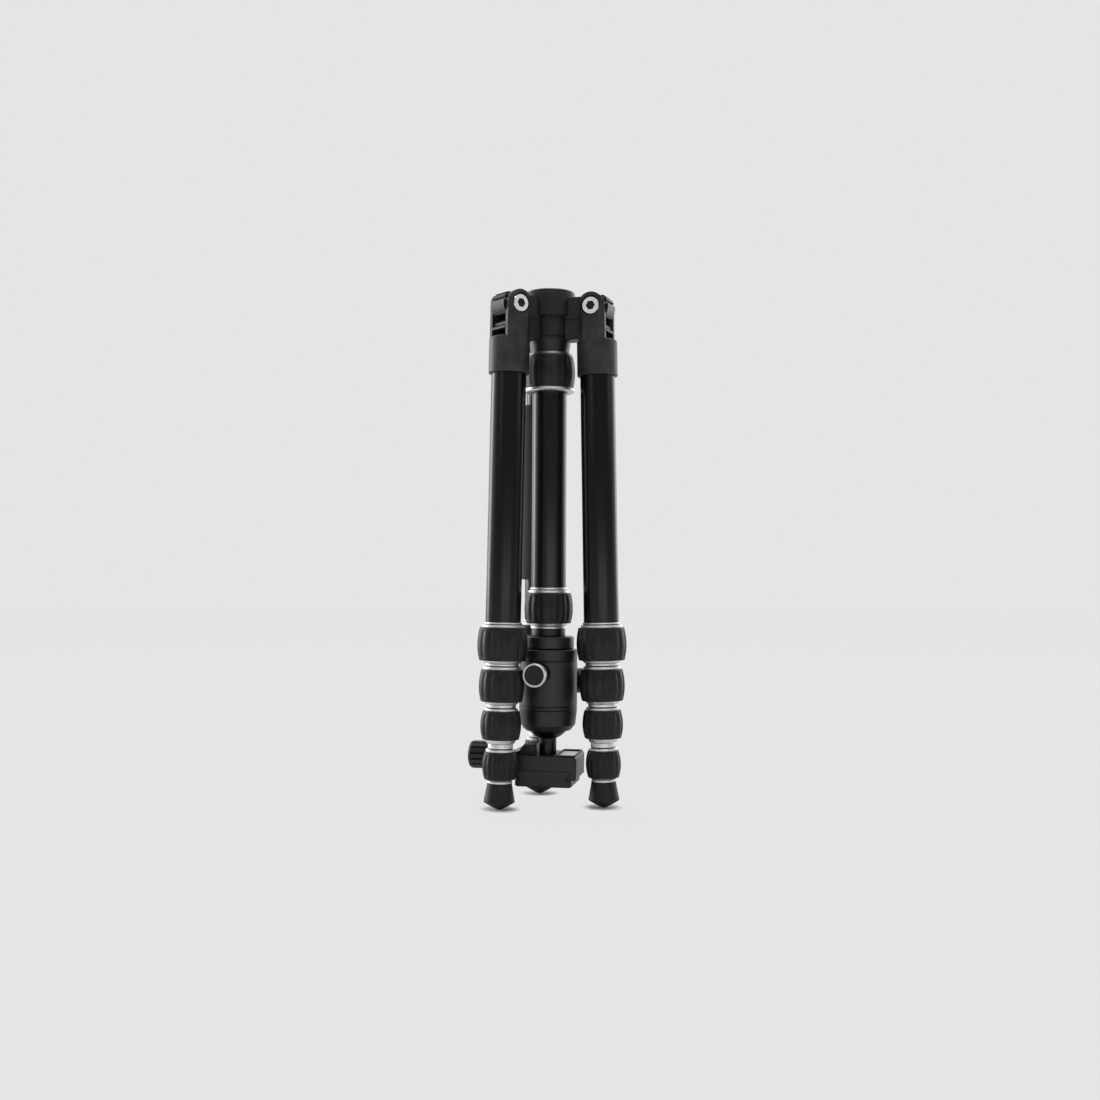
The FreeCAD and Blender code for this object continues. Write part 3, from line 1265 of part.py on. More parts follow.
knob_start = dim("clamp_knob_start")
knob_end = dim("clamp_knob_end")
knob_radius = dim("clamp_knob_radius")
clamp_screw = dim("clamp_screw_radius")
knob_boss = clamp_screw + dim("clamp_screw_shoulder")
knob_neck = dim("clamp_knob_neck")
knob_bevel = dim("clamp_knob_bevel")
knob_round = dim("clamp_knob_round")
round_middle = knob_round * (1 - math.sqrt(0.5))
knob_neck_start = half_length + dim("jaw_travel") + turn_gap
screw_tip = jaw_start - dim("clamp_screw_depth") + dim("clamp_screw_short")
clamp_knob = turned_body("clamp_knob_body", [
    (0, screw_tip), (clamp_screw, screw_tip), (clamp_screw, half_length + turn_gap),
    (knob_boss, half_length + turn_gap), (knob_boss, knob_neck_start), (knob_neck, knob_neck_start),
    (knob_neck, knob_start - dim("clamp_knob_flare")), (knob_radius - knob_bevel, knob_start),
    (knob_radius, knob_start + knob_bevel), (knob_radius, knob_end - knob_round),
    Mid(knob_radius - round_middle, knob_end - round_middle), (knob_radius - knob_round, knob_end),
    (0, knob_end),
])
ribbed_knob(clamp_knob, knob_radius, knob_start - rib_end, knob_end - knob_round - rib_end)
knob_frame = clamp_frame * Placement(
    Vector(0, 0, screw_height.number), Rotation(Vector(0, 1, 0), -90)
)
sub_part("clamp_knob", [clamp_knob], knob_frame)

# Quick-release plate with its pad and camera screw

play = dim("plate_play")
plate_top = floor - play
plate_low = plate_top - dim("plate_height")
platform = plate_low + dim("plate_platform")
plate_half = dim("plate_half_length")
neck_half = dim("plate_neck")
tail = dim("plate_tail")
plate = new_body("plate_casting")
pad(plate, "XZ_Plane", [
    (-plate_half, plate_low), (plate_half, plate_low), (plate_half, platform), (neck_half, platform),
    (neck_half, lip_top + play), (tail, root_low + play), (tail, plate_top),
    (-tail, plate_top), (-tail, root_low + play), (-neck_half, lip_top + play),
    (-neck_half, platform), (-plate_half, platform),
], 2 * dim("plate_half_width"), both_ways=True)
dress_edges(plate, "Fillet", dim("plate_corner"), lambda edge: (
    abs(abs(edge.CenterOfMass.x) - plate_half.number) < 0.01
    and abs(abs(edge.CenterOfMass.y) - dim("plate_half_width").number) < 0.01
))
screw_shank = dim("camera_screw_radius") + dim("screw_play")
head_room = dim("screw_head_radius") + dim("screw_play")
head_seat = plate_top - dim("screw_head_height") - dim("screw_play")
bore(plate, "XY_Plane", 0, 0, screw_shank, dim("plate_height"), offset=plate_low - room, reverse=True)
bore(plate, "XY_Plane", 0, 0, head_room, dim("screw_head_height") + room, offset=head_seat, reverse=True)
sub_part("plate", [plate], clamp_frame)

pad_length = plate_half - dim("pad_margin")
pad_width = dim("plate_half_width") - dim("pad_margin")
rubber_pad = new_body("pad_sheet")
pad(rubber_pad, "XY_Plane", [
    (-pad_length, -pad_width), (pad_length, -pad_width), (pad_length, pad_width), (-pad_length, pad_width),
], dim("pad_thickness"), offset=plate_low - dim("pad_thickness"))
bore(rubber_pad, "XY_Plane", 0, 0, screw_shank, 3 * dim("pad_thickness"),
     offset=plate_low - 2 * dim("pad_thickness"), reverse=True)
sub_part("plate_pad", [rubber_pad], clamp_frame)

shank = dim("camera_screw_radius")
screw_low = plate_low - dim("pad_thickness") + dim("screw_point_rise")
screw_top = head_seat + dim("screw_head_height")
camera_head = dim("screw_head_radius")
slot = dim("screw_slot")
camera_screw = new_body("camera_screw_body")
turn_profile(camera_screw, [
    (0, screw_low), (shank - edge_bevel, screw_low), (shank, screw_low + edge_bevel),
    (shank, head_seat + bond), (camera_head, head_seat + bond), (camera_head, screw_top),
    (0, screw_top),
])
cut(camera_screw, "XY_Plane", [
    (-camera_head - room, -slot / 2), (camera_head + room, -slot / 2),
    (camera_head + room, slot / 2), (-camera_head - room, slot / 2),
], slot, offset=screw_top)
sub_part("camera_screw", [camera_screw], clamp_frame)

# Every object and every sub-part has to be sound before anything is written

doc.recompute()
broken = [item.Name for item in doc.Objects if "Invalid" in item.State or "Error" in item.State]
if broken:
    raise RuntimeError(f"not recomputed: {broken}")
for part in SUB_PARTS:
    if part.Shape.isNull() or not part.Shape.isValid() or not part.Shape.Solids:
        raise RuntimeError(f"{part.Label} has no sound shape")

os.makedirs("parts", exist_ok=True)
for part in SUB_PARTS:
    part.Shape.exportStep(f"parts/{part.Label}.step")
print(len(SUB_PARTS), "sub-parts written")
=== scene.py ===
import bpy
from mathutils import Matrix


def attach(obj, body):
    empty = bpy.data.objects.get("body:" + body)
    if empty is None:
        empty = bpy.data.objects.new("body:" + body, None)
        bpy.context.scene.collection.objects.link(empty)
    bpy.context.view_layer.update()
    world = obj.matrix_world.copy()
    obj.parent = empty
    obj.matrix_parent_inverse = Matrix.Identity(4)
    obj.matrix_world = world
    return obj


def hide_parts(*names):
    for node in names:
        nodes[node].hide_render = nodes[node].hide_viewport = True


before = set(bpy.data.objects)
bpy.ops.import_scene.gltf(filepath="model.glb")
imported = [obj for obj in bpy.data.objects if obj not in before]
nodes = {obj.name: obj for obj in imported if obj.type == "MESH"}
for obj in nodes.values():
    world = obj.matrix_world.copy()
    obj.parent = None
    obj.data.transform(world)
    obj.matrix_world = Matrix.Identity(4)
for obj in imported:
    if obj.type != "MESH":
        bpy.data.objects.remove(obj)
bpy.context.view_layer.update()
import math

import bmesh
import bpy
import numpy as np
from mathutils import Matrix, Vector

# Hub: one aluminium casting with three arms, coated satin black, with a turned neck for the column
# lock. The casting, the moulded liner in its bore and the washers on its arms keep their own shapes.


class Wire:
    """A shader socket that arithmetic can be done on: each operator adds its Math node."""

    def __init__(self, tree, socket):
        self.tree = tree
        self.socket = socket

    def node(self, kind, settings=None, inputs=None, output=0):
        """Any node: its type, its settings, and the values or links of its sockets."""
        made = self.tree.nodes.new(kind)
        for name, value in (settings or {}).items():
            setattr(made, name, value)
        for name, value in (inputs or {}).items():
            if isinstance(value, Wire):
                self.tree.links.new(value.socket, made.inputs[name])
            else:
                made.inputs[name].default_value = value
        return Wire(self.tree, made.outputs[output])

    def math(self, operation, one, two):
        """A Math node on two values or links."""
        return self.node("ShaderNodeMath", {"operation": operation}, {0: one, 1: two})

    def __add__(self, other):
        return self.math("ADD", self, other)

    def __sub__(self, other):
        return self.math("SUBTRACT", self, other)

    def __rsub__(self, other):
        return self.math("SUBTRACT", other, self)

    def __mul__(self, other):
        return self.math("MULTIPLY", self, other)

    def between(self, low, high):
        """0 below low, 1 above high, and smooth between them."""
        return self.node(
            "ShaderNodeMapRange", {"interpolation_type": "SMOOTHSTEP"}, {0: self, 1: low, 2: high}
        )

    __radd__ = __add__
    __rmul__ = __mul__


def new_finish(name):
    """A new material: its tree, its Principled shader, and its object coordinates as a Wire."""
    material = bpy.data.materials.new(name)
    material.use_nodes = True
    tree = material.node_tree
    shader = tree.nodes["Principled BSDF"]
    place = tree.nodes.new("ShaderNodeTexCoord")
    return material, tree, shader, Wire(tree, place.outputs["Object"])


def stretched(place, scale, detail, rough=0.55):
    """Noise of object coordinates that are first stretched by a scale along each axis."""
    spread = place.node("ShaderNodeMapping", {}, {"Vector": place, "Scale": scale})
    return place.node(
        "ShaderNodeTexNoise", {}, {"Vector": spread, "Scale": 1.0, "Detail": detail, "Roughness": rough}
    )


def grey_mix(place, factor, dark, light):
    """A colour that runs between two greys by a factor."""
    return place.node(
        "ShaderNodeMix", {"data_type": "RGBA"},
        {0: factor, 6: (dark, dark, dark, 1), 7: (light, light, light, 1)}, 2,
    )


def plug(tree, shader, **sockets):
    """Set or link sockets of a shader, named with underscores for spaces."""
    for name, value in sockets.items():
        socket = shader.inputs[name.replace("_", " ")]
        if isinstance(value, Wire):
            tree.links.new(value.socket, socket)
        else:
            socket.default_value = value


def bumped(place, height, strength, distance):
    """A normal that follows a height."""
    return place.node(
        "ShaderNodeBump", {}, {"Height": height, "Strength": strength, "Distance": distance}
    )


def satin_black(name, grain=1400.0, gloss=0.42, dark=0.006, light=0.011):
    """Powder coat on a casting: fine orange peel, a slightly uneven gloss, and lighter cloudy areas."""
    material, tree, shader, place = new_finish(name)
    peel = stretched(place, (grain, grain, grain), 2.0)
    cloud = stretched(place, (70, 70, 70), 4.0)
    plug(
        tree, shader,
        Base_Color=grey_mix(place, cloud.between(0.35, 0.7), dark, light),
        Roughness=cloud.between(0.2, 0.8) * 0.1 + (gloss - 0.05),
        Normal=bumped(place, peel, 0.35, 0.00006),
    )
    return material


def dress(names, material):
    """Give nodes of the frame a finish."""
    for name in names:
        mesh = nodes[name].data
        mesh.materials.clear()
        mesh.materials.append(material)


cast_black = satin_black("cast_black")
dress(["spider"], cast_black)


def moulded(name, dark, light, gloss):
    """Moulded plastic: a fine spark-eroded texture and an even sheen."""
    material, tree, shader, place = new_finish(name)
    texture = stretched(place, (2600, 2600, 2600), 1.0)
    cloud = stretched(place, (120, 120, 120), 3.0)
    plug(
        tree, shader,
        Base_Color=grey_mix(place, cloud.between(0.3, 0.7), dark, light),
        Roughness=texture.between(0.2, 0.8) * 0.12 + gloss,
        Normal=bumped(place, texture, 0.3, 0.00004),
    )
    return material


dark_plastic = moulded("dark_plastic", 0.006, 0.01, 0.42)
dress(["hub_liner", "pivot_washers"], dark_plastic)

# End cap: a turned aluminium disc, coated like the hub, with a plug that closes the column tube. Its
# top is turned a little lower inside the rim, and its edge is turned bare after the coating. Like every
# round piece of the middle it is drawn on the column's axis, which is a little off the origin.

MM = 0.001
COLUMN = Matrix.Translation((0.0024, -0.010, 0.0))


def eased(corners, ease, steps=4):
    """A closed profile with its corners eased: each is cut back by ease on both sides, and the
    quadratic curve with the corner as its handle joins the cuts. Corners on the axis stay sharp."""
    point = np.array(corners, float)
    before, after = np.roll(point, 1, 0), np.roll(point, -1, 0)
    room = np.where(point[:, :1] > 1e-9, ease, 0.0)

    def cut(other):
        way = other - point
        length = np.linalg.norm(way, axis=1, keepdims=True)
        return point + way / np.maximum(length, 1e-9) * np.minimum(room, length * 0.45)

    s = np.linspace(0, 1, steps + 1)[None, :, None]
    start, end = cut(before)[:, None], cut(after)[:, None]
    curve = (1 - s) ** 2 * start + 2 * s * (1 - s) * point[:, None] + s ** 2 * end
    return curve.reshape(-1, 2)


def made_mesh(name, points, material, crease=32.0):
    """A closed grid of points, rows round and columns along a closed profile, as a mesh in metres."""
    rows, columns = points.shape[:2]
    index = np.arange(rows * columns).reshape(rows, columns)
    right, up = np.roll(index, -1, 0), np.roll(index, -1, 1)
    corner = np.roll(right, -1, 1)
    faces = np.stack([index, right, corner, up], -1).reshape(-1, 4)
    mesh = bpy.data.meshes.new(name)
    mesh.vertices.add(rows * columns)
    mesh.vertices.foreach_set("co", (points.reshape(-1) * MM).astype(np.float32))
    mesh.loops.add(faces.size)
    mesh.loops.foreach_set("vertex_index", faces.reshape(-1).astype(np.int32))
    mesh.polygons.add(len(faces))
    mesh.polygons.foreach_set("loop_start", (np.arange(len(faces)) * 4).astype(np.int32))
    mesh.update(calc_edges=True)
    mesh.validate()
    shape = bmesh.new()
    shape.from_mesh(mesh)
    bmesh.ops.remove_doubles(shape, verts=shape.verts, dist=1e-7)
    bmesh.ops.recalc_face_normals(shape, faces=shape.faces)
    shape.to_mesh(mesh)
    shape.free()
    mesh.shade_smooth()
    mesh.set_sharp_from_angle(angle=math.radians(crease))
    mesh.materials.append(material)
    piece = bpy.data.objects.new(name, mesh)
    bpy.context.scene.collection.objects.link(piece)
    return piece


def turned(name, profile, place, material, steps=96, wave=None, crease=32.0):
    """Point (i, j) lies at angle i of a full turn, with the radius and height of profile point j; wave
    changes the radius by angle and point. The whole is then moved to its place, in metres."""
    profile = np.asarray(profile, float)
    angle = np.linspace(0, 2 * np.pi, steps, endpoint=False)[:, None]
    radius = np.repeat(profile[None, :, 0], steps, 0)
    if wave is not None:
        radius = radius + wave(angle, profile)
    height = np.repeat(profile[None, :, 1], steps, 0)
    points = np.stack([radius * np.cos(angle), radius * np.sin(angle), height], -1)
    piece = made_mesh(name, points, material, crease)
    piece.data.transform(place)
    return piece


def stand_for(piece, body, slot, *replaced):
    """Let a piece ride on a body and hide the nodes that it stands for; slot is not used."""
    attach(piece, body)
    if replaced:
        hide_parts(*replaced)
    return piece


CAP_TOP = 370.39
CAP_UNDER = CAP_TOP - 1.98
CAP_RADIUS = 17.9
CAP_DISH = CAP_TOP - 0.35
EDGE_LOW = CAP_TOP - 0.9
EDGE_INNER = 17.2
PLUG_RADIUS = 11.0
PLUG_INNER = 8.8
PLUG_LOW = CAP_TOP - 11
PLUG_ROOF = CAP_TOP - 2.4
end_cap = turned("end_cap_disc", eased([
    (0, CAP_DISH), (14.6, CAP_DISH), (14.9, CAP_TOP), (EDGE_INNER, CAP_TOP), (EDGE_INNER, EDGE_LOW),
    (CAP_RADIUS, EDGE_LOW), (CAP_RADIUS, CAP_UNDER), (PLUG_RADIUS, CAP_UNDER), (PLUG_RADIUS, PLUG_LOW),
    (PLUG_INNER, PLUG_LOW), (PLUG_INNER, PLUG_ROOF), (0, PLUG_ROOF),
], 0.2), COLUMN, cast_black)
stand_for(end_cap, "column_end_cap", "black_casting", "column_end_cap")


def turned_bright(name, light=0.9):
    """Bright turned aluminium: fine lathe lines round the axis in height and gloss."""
    material, tree, shader, place = new_finish(name)
    lines = stretched(place, (30, 30, 16000), 2.0, 0.6)
    cloud = stretched(place, (180, 180, 180), 3.0)
    plug(
        tree, shader,
        Base_Color=grey_mix(place, lines.between(0.25, 0.75), light - 0.1, light + 0.06),
        Metallic=1.0,
        Roughness=lines * 0.14 + cloud * 0.1 + 0.3,
        Normal=bumped(place, lines, 0.25, 0.00003),
    )
    return material


worn_metal = turned_bright("worn_metal", 0.22)
BOND = 0.02
cap_edge = turned("end_cap_edge", eased([
    (EDGE_INNER + BOND, EDGE_LOW + BOND), (CAP_RADIUS, EDGE_LOW + BOND), (CAP_RADIUS, CAP_TOP - 0.45),
    (CAP_RADIUS - 0.4, CAP_TOP), (EDGE_INNER + BOND, CAP_TOP),
], 0.1), COLUMN, worn_metal, 128)
stand_for(cap_edge, "column_end_cap", "black_casting")

# Centre column: a drawn aluminium tube, anodised black, with a bright turned ferrule at its lower
# end. Drawing leaves faint streaks along the tube, which show where it catches the light.


def drawn_black(name, dark=0.002, light=0.004):
    """Anodised tube: near black, glossy, with streaks along it and soft clouds in its gloss."""
    material, tree, shader, place = new_finish(name)
    streaks = stretched(place, (1500, 1500, 7), 4.0, 0.7)
    cloud = stretched(place, (40, 40, 12), 3.0)
    plug(
        tree, shader,
        Base_Color=grey_mix(place, streaks.between(0.3, 0.75), dark, light),
        Roughness=streaks * 0.09 + cloud * 0.06 + 0.17,
        Normal=bumped(place, streaks, 0.12, 0.00003),
        Specular_IOR_Level=0.37,
    )
    return material


column_black = drawn_black("column_black", 0.005, 0.009)
bright_metal = turned_bright("bright_metal")


def ring(inner, outer, low, high):
    """The corners of a plain ring's profile."""
    return [(inner, low), (outer, low), (outer, high), (inner, high)]


COLUMN_RADIUS = 12.5
COLUMN_WALL = 1.2
COLUMN_LOW = 141.0
COLUMN_TOP = 368.1
column_tube = turned("column_tube_pipe", eased(
    ring(COLUMN_RADIUS - COLUMN_WALL, COLUMN_RADIUS, COLUMN_LOW, COLUMN_TOP), 0.25
), COLUMN, column_black, 128)
stand_for(column_tube, "column_tube", "black_tube", "column_tube")
# Near-black moulding: the dark disc of the pan knob and the tray's rim, and also the painted shade in
# grooves, gaps and bolt sockets.
shade_and_trim_black = moulded("shade_and_trim_black", 0.002, 0.004, 0.5)
TURN_GAP = 0.3


def ferrule(name, body, tube, low, top, flange, collar, place):
    """A turned ferrule on a tube's end: a thread from low, then a flange that starts over the lock's
    top, and a narrower collar above it, with a near-black ring in the groove between the two as
    painted shade of the groove."""
    threads = tube + 1.1
    flange_radius = tube + 2.2
    groove = tube + 0.2
    collar_radius = tube + 0.8
    metal = turned(name, eased([
        (tube + BOND, low), (threads, low), (threads, top + TURN_GAP), (flange_radius, top + TURN_GAP),
        (flange_radius, flange - 0.3), (groove, flange - 0.1), (groove, flange + 0.4),
        (collar_radius, flange + 0.5), (collar_radius, collar), (tube + BOND, collar),
    ], 0.24), place, bright_metal, 128)
    stand_for(metal, body, "black_tube")
    # Painted shade: a near-black ring fills the groove between the flange and the collar.
    groove_shade = turned(f"{name}_seal", eased(
        ring(groove + BOND, collar_radius - 0.06, flange - 0.1, flange + 0.5), 0.08
    ), place, shade_and_trim_black, 128)
    stand_for(groove_shade, body, "black_plastic")


HEAD_LOCK_TOP = 151.7
ferrule(
    "column_ferrule", "column_tube", COLUMN_RADIUS, COLUMN_LOW, HEAD_LOCK_TOP, 153.8, 155.5, COLUMN
)

# Twist locks of the column: a turned nut with bright ends inside a barrel of black rubber, which has
# flutes moulded round it for the fingers. Rubber is softer than the metal, with a fine grain and
# slightly paler cloudy areas where hands have polished it.

FLUTES = 15
RUBBER_WALL = 2.4


def gripped_rubber(name, dark=0.006, light=0.016):
    """Moulded rubber: a fine even grain, a low sheen, and cloudy paler areas from handling."""
    material, tree, shader, place = new_finish(name)
    grain = stretched(place, (3200, 3200, 3200), 1.5)
    cloud = stretched(place, (150, 150, 90), 4.0, 0.6)
    plug(
        tree, shader,
        Base_Color=grey_mix(place, cloud.between(0.3, 0.8), dark, light),
        Roughness=cloud * 0.16 + grain * 0.08 + 0.34,
        Normal=bumped(place, grain, 0.4, 0.00005),
        Specular_IOR_Level=0.35,
    )
    return material


rubber_black = gripped_rubber("rubber_black")


def barrel(core, radius, low, high, narrowing=1.4, edge=0.7):
    """The profile of a grip: its outside is an arc from end to end, with small round edges."""
    across = np.linspace(-1, 1, 25)
    outside = radius - narrowing * across ** 2
    height = (low + high) / 2 + across * ((high - low) / 2 - edge)
    corner = np.linspace(0, np.pi / 2, 6)[1:]
    end = outside[0]
    top = np.stack([end - edge * (1 - np.cos(corner)), high - edge * (1 - np.sin(corner))], -1)
    foot = np.stack([end - edge * (1 - np.cos(corner)), low + edge * (1 - np.sin(corner))], -1)[::-1]
    return np.concatenate([
        [(core, low)], foot, np.stack([outside, height], -1), top, [(core, high)],
    ])


def fluted(core, low, high, depth):
    """Round-bottomed flutes: the depth times a bell curve of the distance to the nearest flute, on the
    outside only, faded out by smooth steps towards both ends of the grip."""
    def wave(angle, profile):
        turn = (angle * FLUTES / (2 * np.pi)) % 1.0
        off = np.abs(turn - 0.5)
        bell = np.exp(-((0.5 - off) / 0.36) ** 2 * 2.2)
        outer = np.clip((profile[None, :, 0] - core - 0.05) / 0.5, 0, 1)
        inwards = np.minimum(profile[None, :, 1] - low, high - profile[None, :, 1])
        fade = np.clip((inwards - 1.2) / 1.8, 0, 1)
        return -depth * bell * outer * fade * fade * (3 - 2 * fade)
    return wave


def grip(name, radius, low, high, place, depth=0.6):
    """One fluted rubber grip, a rubber wall thick at its widest."""
    core = radius - RUBBER_WALL
    shape = barrel(core, radius, low, high)
    return turned(name, shape, place, rubber_black, 360, fluted(core, low, high, depth), 50)


HUB_LOCK_RADIUS = 18.5
HUB_LOCK_LOW = 299.7
HUB_LOCK_TOP = 323.4
HUB_LOCK_THREAD = 14.7
hub_lock_grip = grip(
    "column_lock_grip", HUB_LOCK_RADIUS, HUB_LOCK_LOW + BOND, HUB_LOCK_TOP - BOND, COLUMN, 0.25
)
stand_for(hub_lock_grip, "column_lock", "lock_rubber", "column_lock")
nut_low = HUB_LOCK_LOW - 2.3
nut_radius = HUB_LOCK_RADIUS - RUBBER_WALL - BOND
hub_lock_nut = turned("column_lock_nut", eased([
    (12.8, nut_low), (17.3, nut_low), (HUB_LOCK_RADIUS, nut_low + 0.8), (HUB_LOCK_RADIUS, HUB_LOCK_LOW),
    (nut_radius, HUB_LOCK_LOW), (nut_radius, HUB_LOCK_TOP), (HUB_LOCK_THREAD, HUB_LOCK_TOP),
    (HUB_LOCK_THREAD, HUB_LOCK_LOW + 4), (12.8, HUB_LOCK_LOW + 2),
], 0.2), COLUMN, bright_metal, 128)
stand_for(hub_lock_nut, "column_lock", "lock_rubber")
shoulder_low = HUB_LOCK_TOP + BOND
shoulder_top = HUB_LOCK_TOP + 2.3
hub_lock_shoulder = turned("column_lock_shoulder", eased([
    (HUB_LOCK_THREAD, shoulder_low), (16.7, shoulder_low), (16.1, shoulder_top - 0.3),
    (15.7, shoulder_top), (HUB_LOCK_THREAD, shoulder_top),
], 0.2), COLUMN, worn_metal, 128)
stand_for(hub_lock_shoulder, "column_lock", "lock_rubber")

HEAD_LOCK_RADIUS = 17.7
HEAD_LOCK_LOW = 129.8
HEAD_LOCK_THREAD = 13.9
head_lock_grip = grip("inner_column_lock_grip", HEAD_LOCK_RADIUS, HEAD_LOCK_LOW, HEAD_LOCK_TOP, COLUMN)
stand_for(head_lock_grip, "inner_column_lock", "lock_rubber", "inner_column_lock")
lip_low = HEAD_LOCK_LOW - 2.1
nut_radius = HEAD_LOCK_RADIUS - RUBBER_WALL - BOND
head_lock_nut = turned("inner_column_lock_nut", eased([
    (11.3, lip_low), (12.8, lip_low), (14.0, HEAD_LOCK_LOW), (nut_radius, HEAD_LOCK_LOW),
    (nut_radius, HEAD_LOCK_TOP), (HEAD_LOCK_THREAD, HEAD_LOCK_TOP),
    (HEAD_LOCK_THREAD, HEAD_LOCK_LOW + 1), (11.3, HEAD_LOCK_LOW + 1),
], 0.15), COLUMN, bright_metal, 128)
stand_for(head_lock_nut, "inner_column_lock", "lock_rubber")

# Inner column: a thinner black tube that slides in the column and ends in a bright collar. The turned
# mount glued into its end carries the head on a stud.

INNER_RADIUS = 11.0
INNER_LOW = 126.2
INNER_TOP = 330.0
inner_bore = INNER_RADIUS - COLUMN_WALL
inner_pipe = turned(
    "inner_column_pipe", eased(ring(inner_bore, INNER_RADIUS, INNER_LOW, INNER_TOP), 0.2), COLUMN,
    column_black, 96,
)
stand_for(inner_pipe, "inner_column", "black_tube", "inner_column")
inner_collar = turned("inner_column_collar", eased(
    ring(INNER_RADIUS + BOND, 12.9, INNER_LOW, INNER_LOW + 1.2), 0.25
), COLUMN, bright_metal)
stand_for(inner_collar, "inner_column", "black_tube")

MOUNT_LOW = 120.5
MOUNT_RADIUS = 12.2
STUD_RADIUS = 4.7
STUD_LOW = MOUNT_LOW - 6
plug_top = INNER_LOW + 12
mount_body = turned("head_mount_body", eased([
    (0, STUD_LOW), (STUD_RADIUS - 0.6, STUD_LOW), (STUD_RADIUS, STUD_LOW + 0.6), (STUD_RADIUS, MOUNT_LOW),
    (MOUNT_RADIUS - 0.5, MOUNT_LOW), (MOUNT_RADIUS, MOUNT_LOW + 0.5), (MOUNT_RADIUS, INNER_LOW),
    (inner_bore - BOND, INNER_LOW), (inner_bore - BOND, plug_top), (0, plug_top),
], 0.2), COLUMN, cast_black)
stand_for(mount_body, "inner_column", "black_casting", "head_mount")

# Legs: each is five drawn tubes, black anodised, that slide in one another. The lower end of each
# outer tube has a turned ferrule, bright where it shows as a flange and a collar above a lock.

tube_black = drawn_black("tube_black")
LEAN = math.radians(1.17)
LEG_LENGTH = 356.5
PIVOT_RADIUS = 36.0
LEGS = {"rear_leg": 90, "left_leg": 210, "right_leg": 330}
TUBE = {1: 12.5, 2: 11.0, 3: 9.5, 4: 8.0, 5: 6.5}
TUBE_WALL = 1.0
TUBE_TOP = 327.4
NEST_STEP = 3.0
FOOT_SOCKET = 8.0
LOCKS = {
    1: {"lip": 102.4, "grip": 104.2, "top": 127.5, "flange": 129.5, "collar": 131.0, "radius": 17.9},
    2: {"lip": 73.8, "grip": 75.5, "top": 98.0, "flange": 100.2, "collar": 102.1, "radius": 16.2},
    3: {"lip": 46.3, "grip": 49.0, "top": 69.0, "flange": 71.0, "collar": 73.5, "radius": 14.5},
    4: {"lip": 20.4, "grip": 21.2, "top": 40.3, "flange": 42.4, "collar": 46.0, "radius": 12.5},
}


def leg_frame(direction):
    """The place of a leg: from its foot tip, with Z up the leg and X away from the column."""
    foot = (PIVOT_RADIUS + LEG_LENGTH * math.sin(LEAN)) * MM
    return (
        COLUMN @ Matrix.Rotation(math.radians(direction), 4, "Z")
        @ Matrix.Translation((foot, 0, 0)) @ Matrix.Rotation(-LEAN, 4, "Y")
    )


for leg, direction in LEGS.items():
    place = leg_frame(direction)
    for number, radius in TUBE.items():
        low = (LOCKS[number]["grip"] + LOCKS[number]["top"]) / 2 if number < 5 else FOOT_SOCKET
        high = TUBE_TOP - NEST_STEP * (number - 1)
        pipe = turned(
            f"{leg}_tube_{number}_pipe", eased(ring(radius - TUBE_WALL, radius, low, high), 0.2), place,
            tube_black, 96,
        )
        stand_for(pipe, f"{leg}_section_{number}", "black_tube", f"{leg}_tube_{number}")
        if number == 5:
            continue
        lock = LOCKS[number]
        ferrule(
            f"{leg}_ferrule_{number}", f"{leg}_section_{number}", radius, low, lock["top"],
            lock["flange"], lock["collar"], place,
        )

# Twist locks of the legs: the same build as the column's, smaller from the top to the foot. The
# nut's bright tapered lip shows under each grip.

for leg, direction in LEGS.items():
    place = leg_frame(direction)
    for number, lock in LOCKS.items():
        body = f"{leg}_lock_{number}"
        rubber = grip(f"{body}_grip", lock["radius"], lock["grip"], lock["top"], place)
        stand_for(rubber, body, "lock_rubber", body)
        bore = TUBE[number + 1] + TURN_GAP
        thread = TUBE[number] + 1.4
        outside = lock["radius"] - RUBBER_WALL - BOND
        nut = turned(f"{body}_nut", eased([
            (bore, lock["lip"]), (bore + 1.5, lock["lip"]), (bore + 2.7, lock["grip"]),
            (outside, lock["grip"]), (outside, lock["top"]), (thread, lock["top"]),
            (thread, lock["grip"] + 1), (bore, lock["grip"] + 1),
        ], 0.15), place, bright_metal, 128)
        stand_for(nut, body, "lock_rubber")
        # Painted shade: a thin near-black ring under each nut's lip darkens the gap above the next tube.
        gap_shade_radius = bore + (0.35 if number < 4 else 1.75)
        gap_shade = turned(f"{body}_wiper", eased(
            ring(bore + BOND, gap_shade_radius, lock["lip"] - 0.28, lock["lip"] - BOND), 0.05
        ), place, shade_and_trim_black, 128)
        stand_for(gap_shade, body, "black_plastic")

# Feet: moulded hard rubber that flares from a narrow neck to a wide shoulder and ends in a hollowed
# point, under a bright ring that is pressed over its neck.

foot_black = gripped_rubber("foot_black", 0.008, 0.016)
FOOT_TOP = 18.4
FOOT_NECK = 8.7
FOOT_TIP = 1.1
FOOT_EDGE = 10.6
POINT_HEIGHT = 5.0
socket = TUBE[5] + BOND
point = np.linspace(0, 1, 9)
foot_point = np.stack([FOOT_TIP + (FOOT_EDGE - FOOT_TIP) * point, POINT_HEIGHT * point ** 1.25], -1)
foot_shape = np.concatenate([
    [(0, 0)], foot_point,
    [(10.9, 5.25), (11.0, 5.6), (10.9, 6.2), (10.1, 10.5), (9.3, 14.6), (FOOT_NECK, FOOT_TOP - 0.05)],
    [(6.6, FOOT_TOP), (socket, FOOT_TOP), (socket, FOOT_SOCKET - BOND), (0, FOOT_SOCKET - BOND)],
])
for leg, direction in LEGS.items():
    place = leg_frame(direction)
    foot = turned(f"{leg}_foot_rubber", foot_shape, place, foot_black, 96)
    stand_for(foot, f"{leg}_section_5", "foot_rubber", f"{leg}_foot")
    foot_ring = turned(f"{leg}_foot_ring", eased(
        ring(socket, FOOT_NECK, FOOT_TOP + BOND, FOOT_TOP + 1.7), 0.35
    ), place, bright_metal, 96)
    stand_for(foot_ring, f"{leg}_section_5", "foot_rubber")

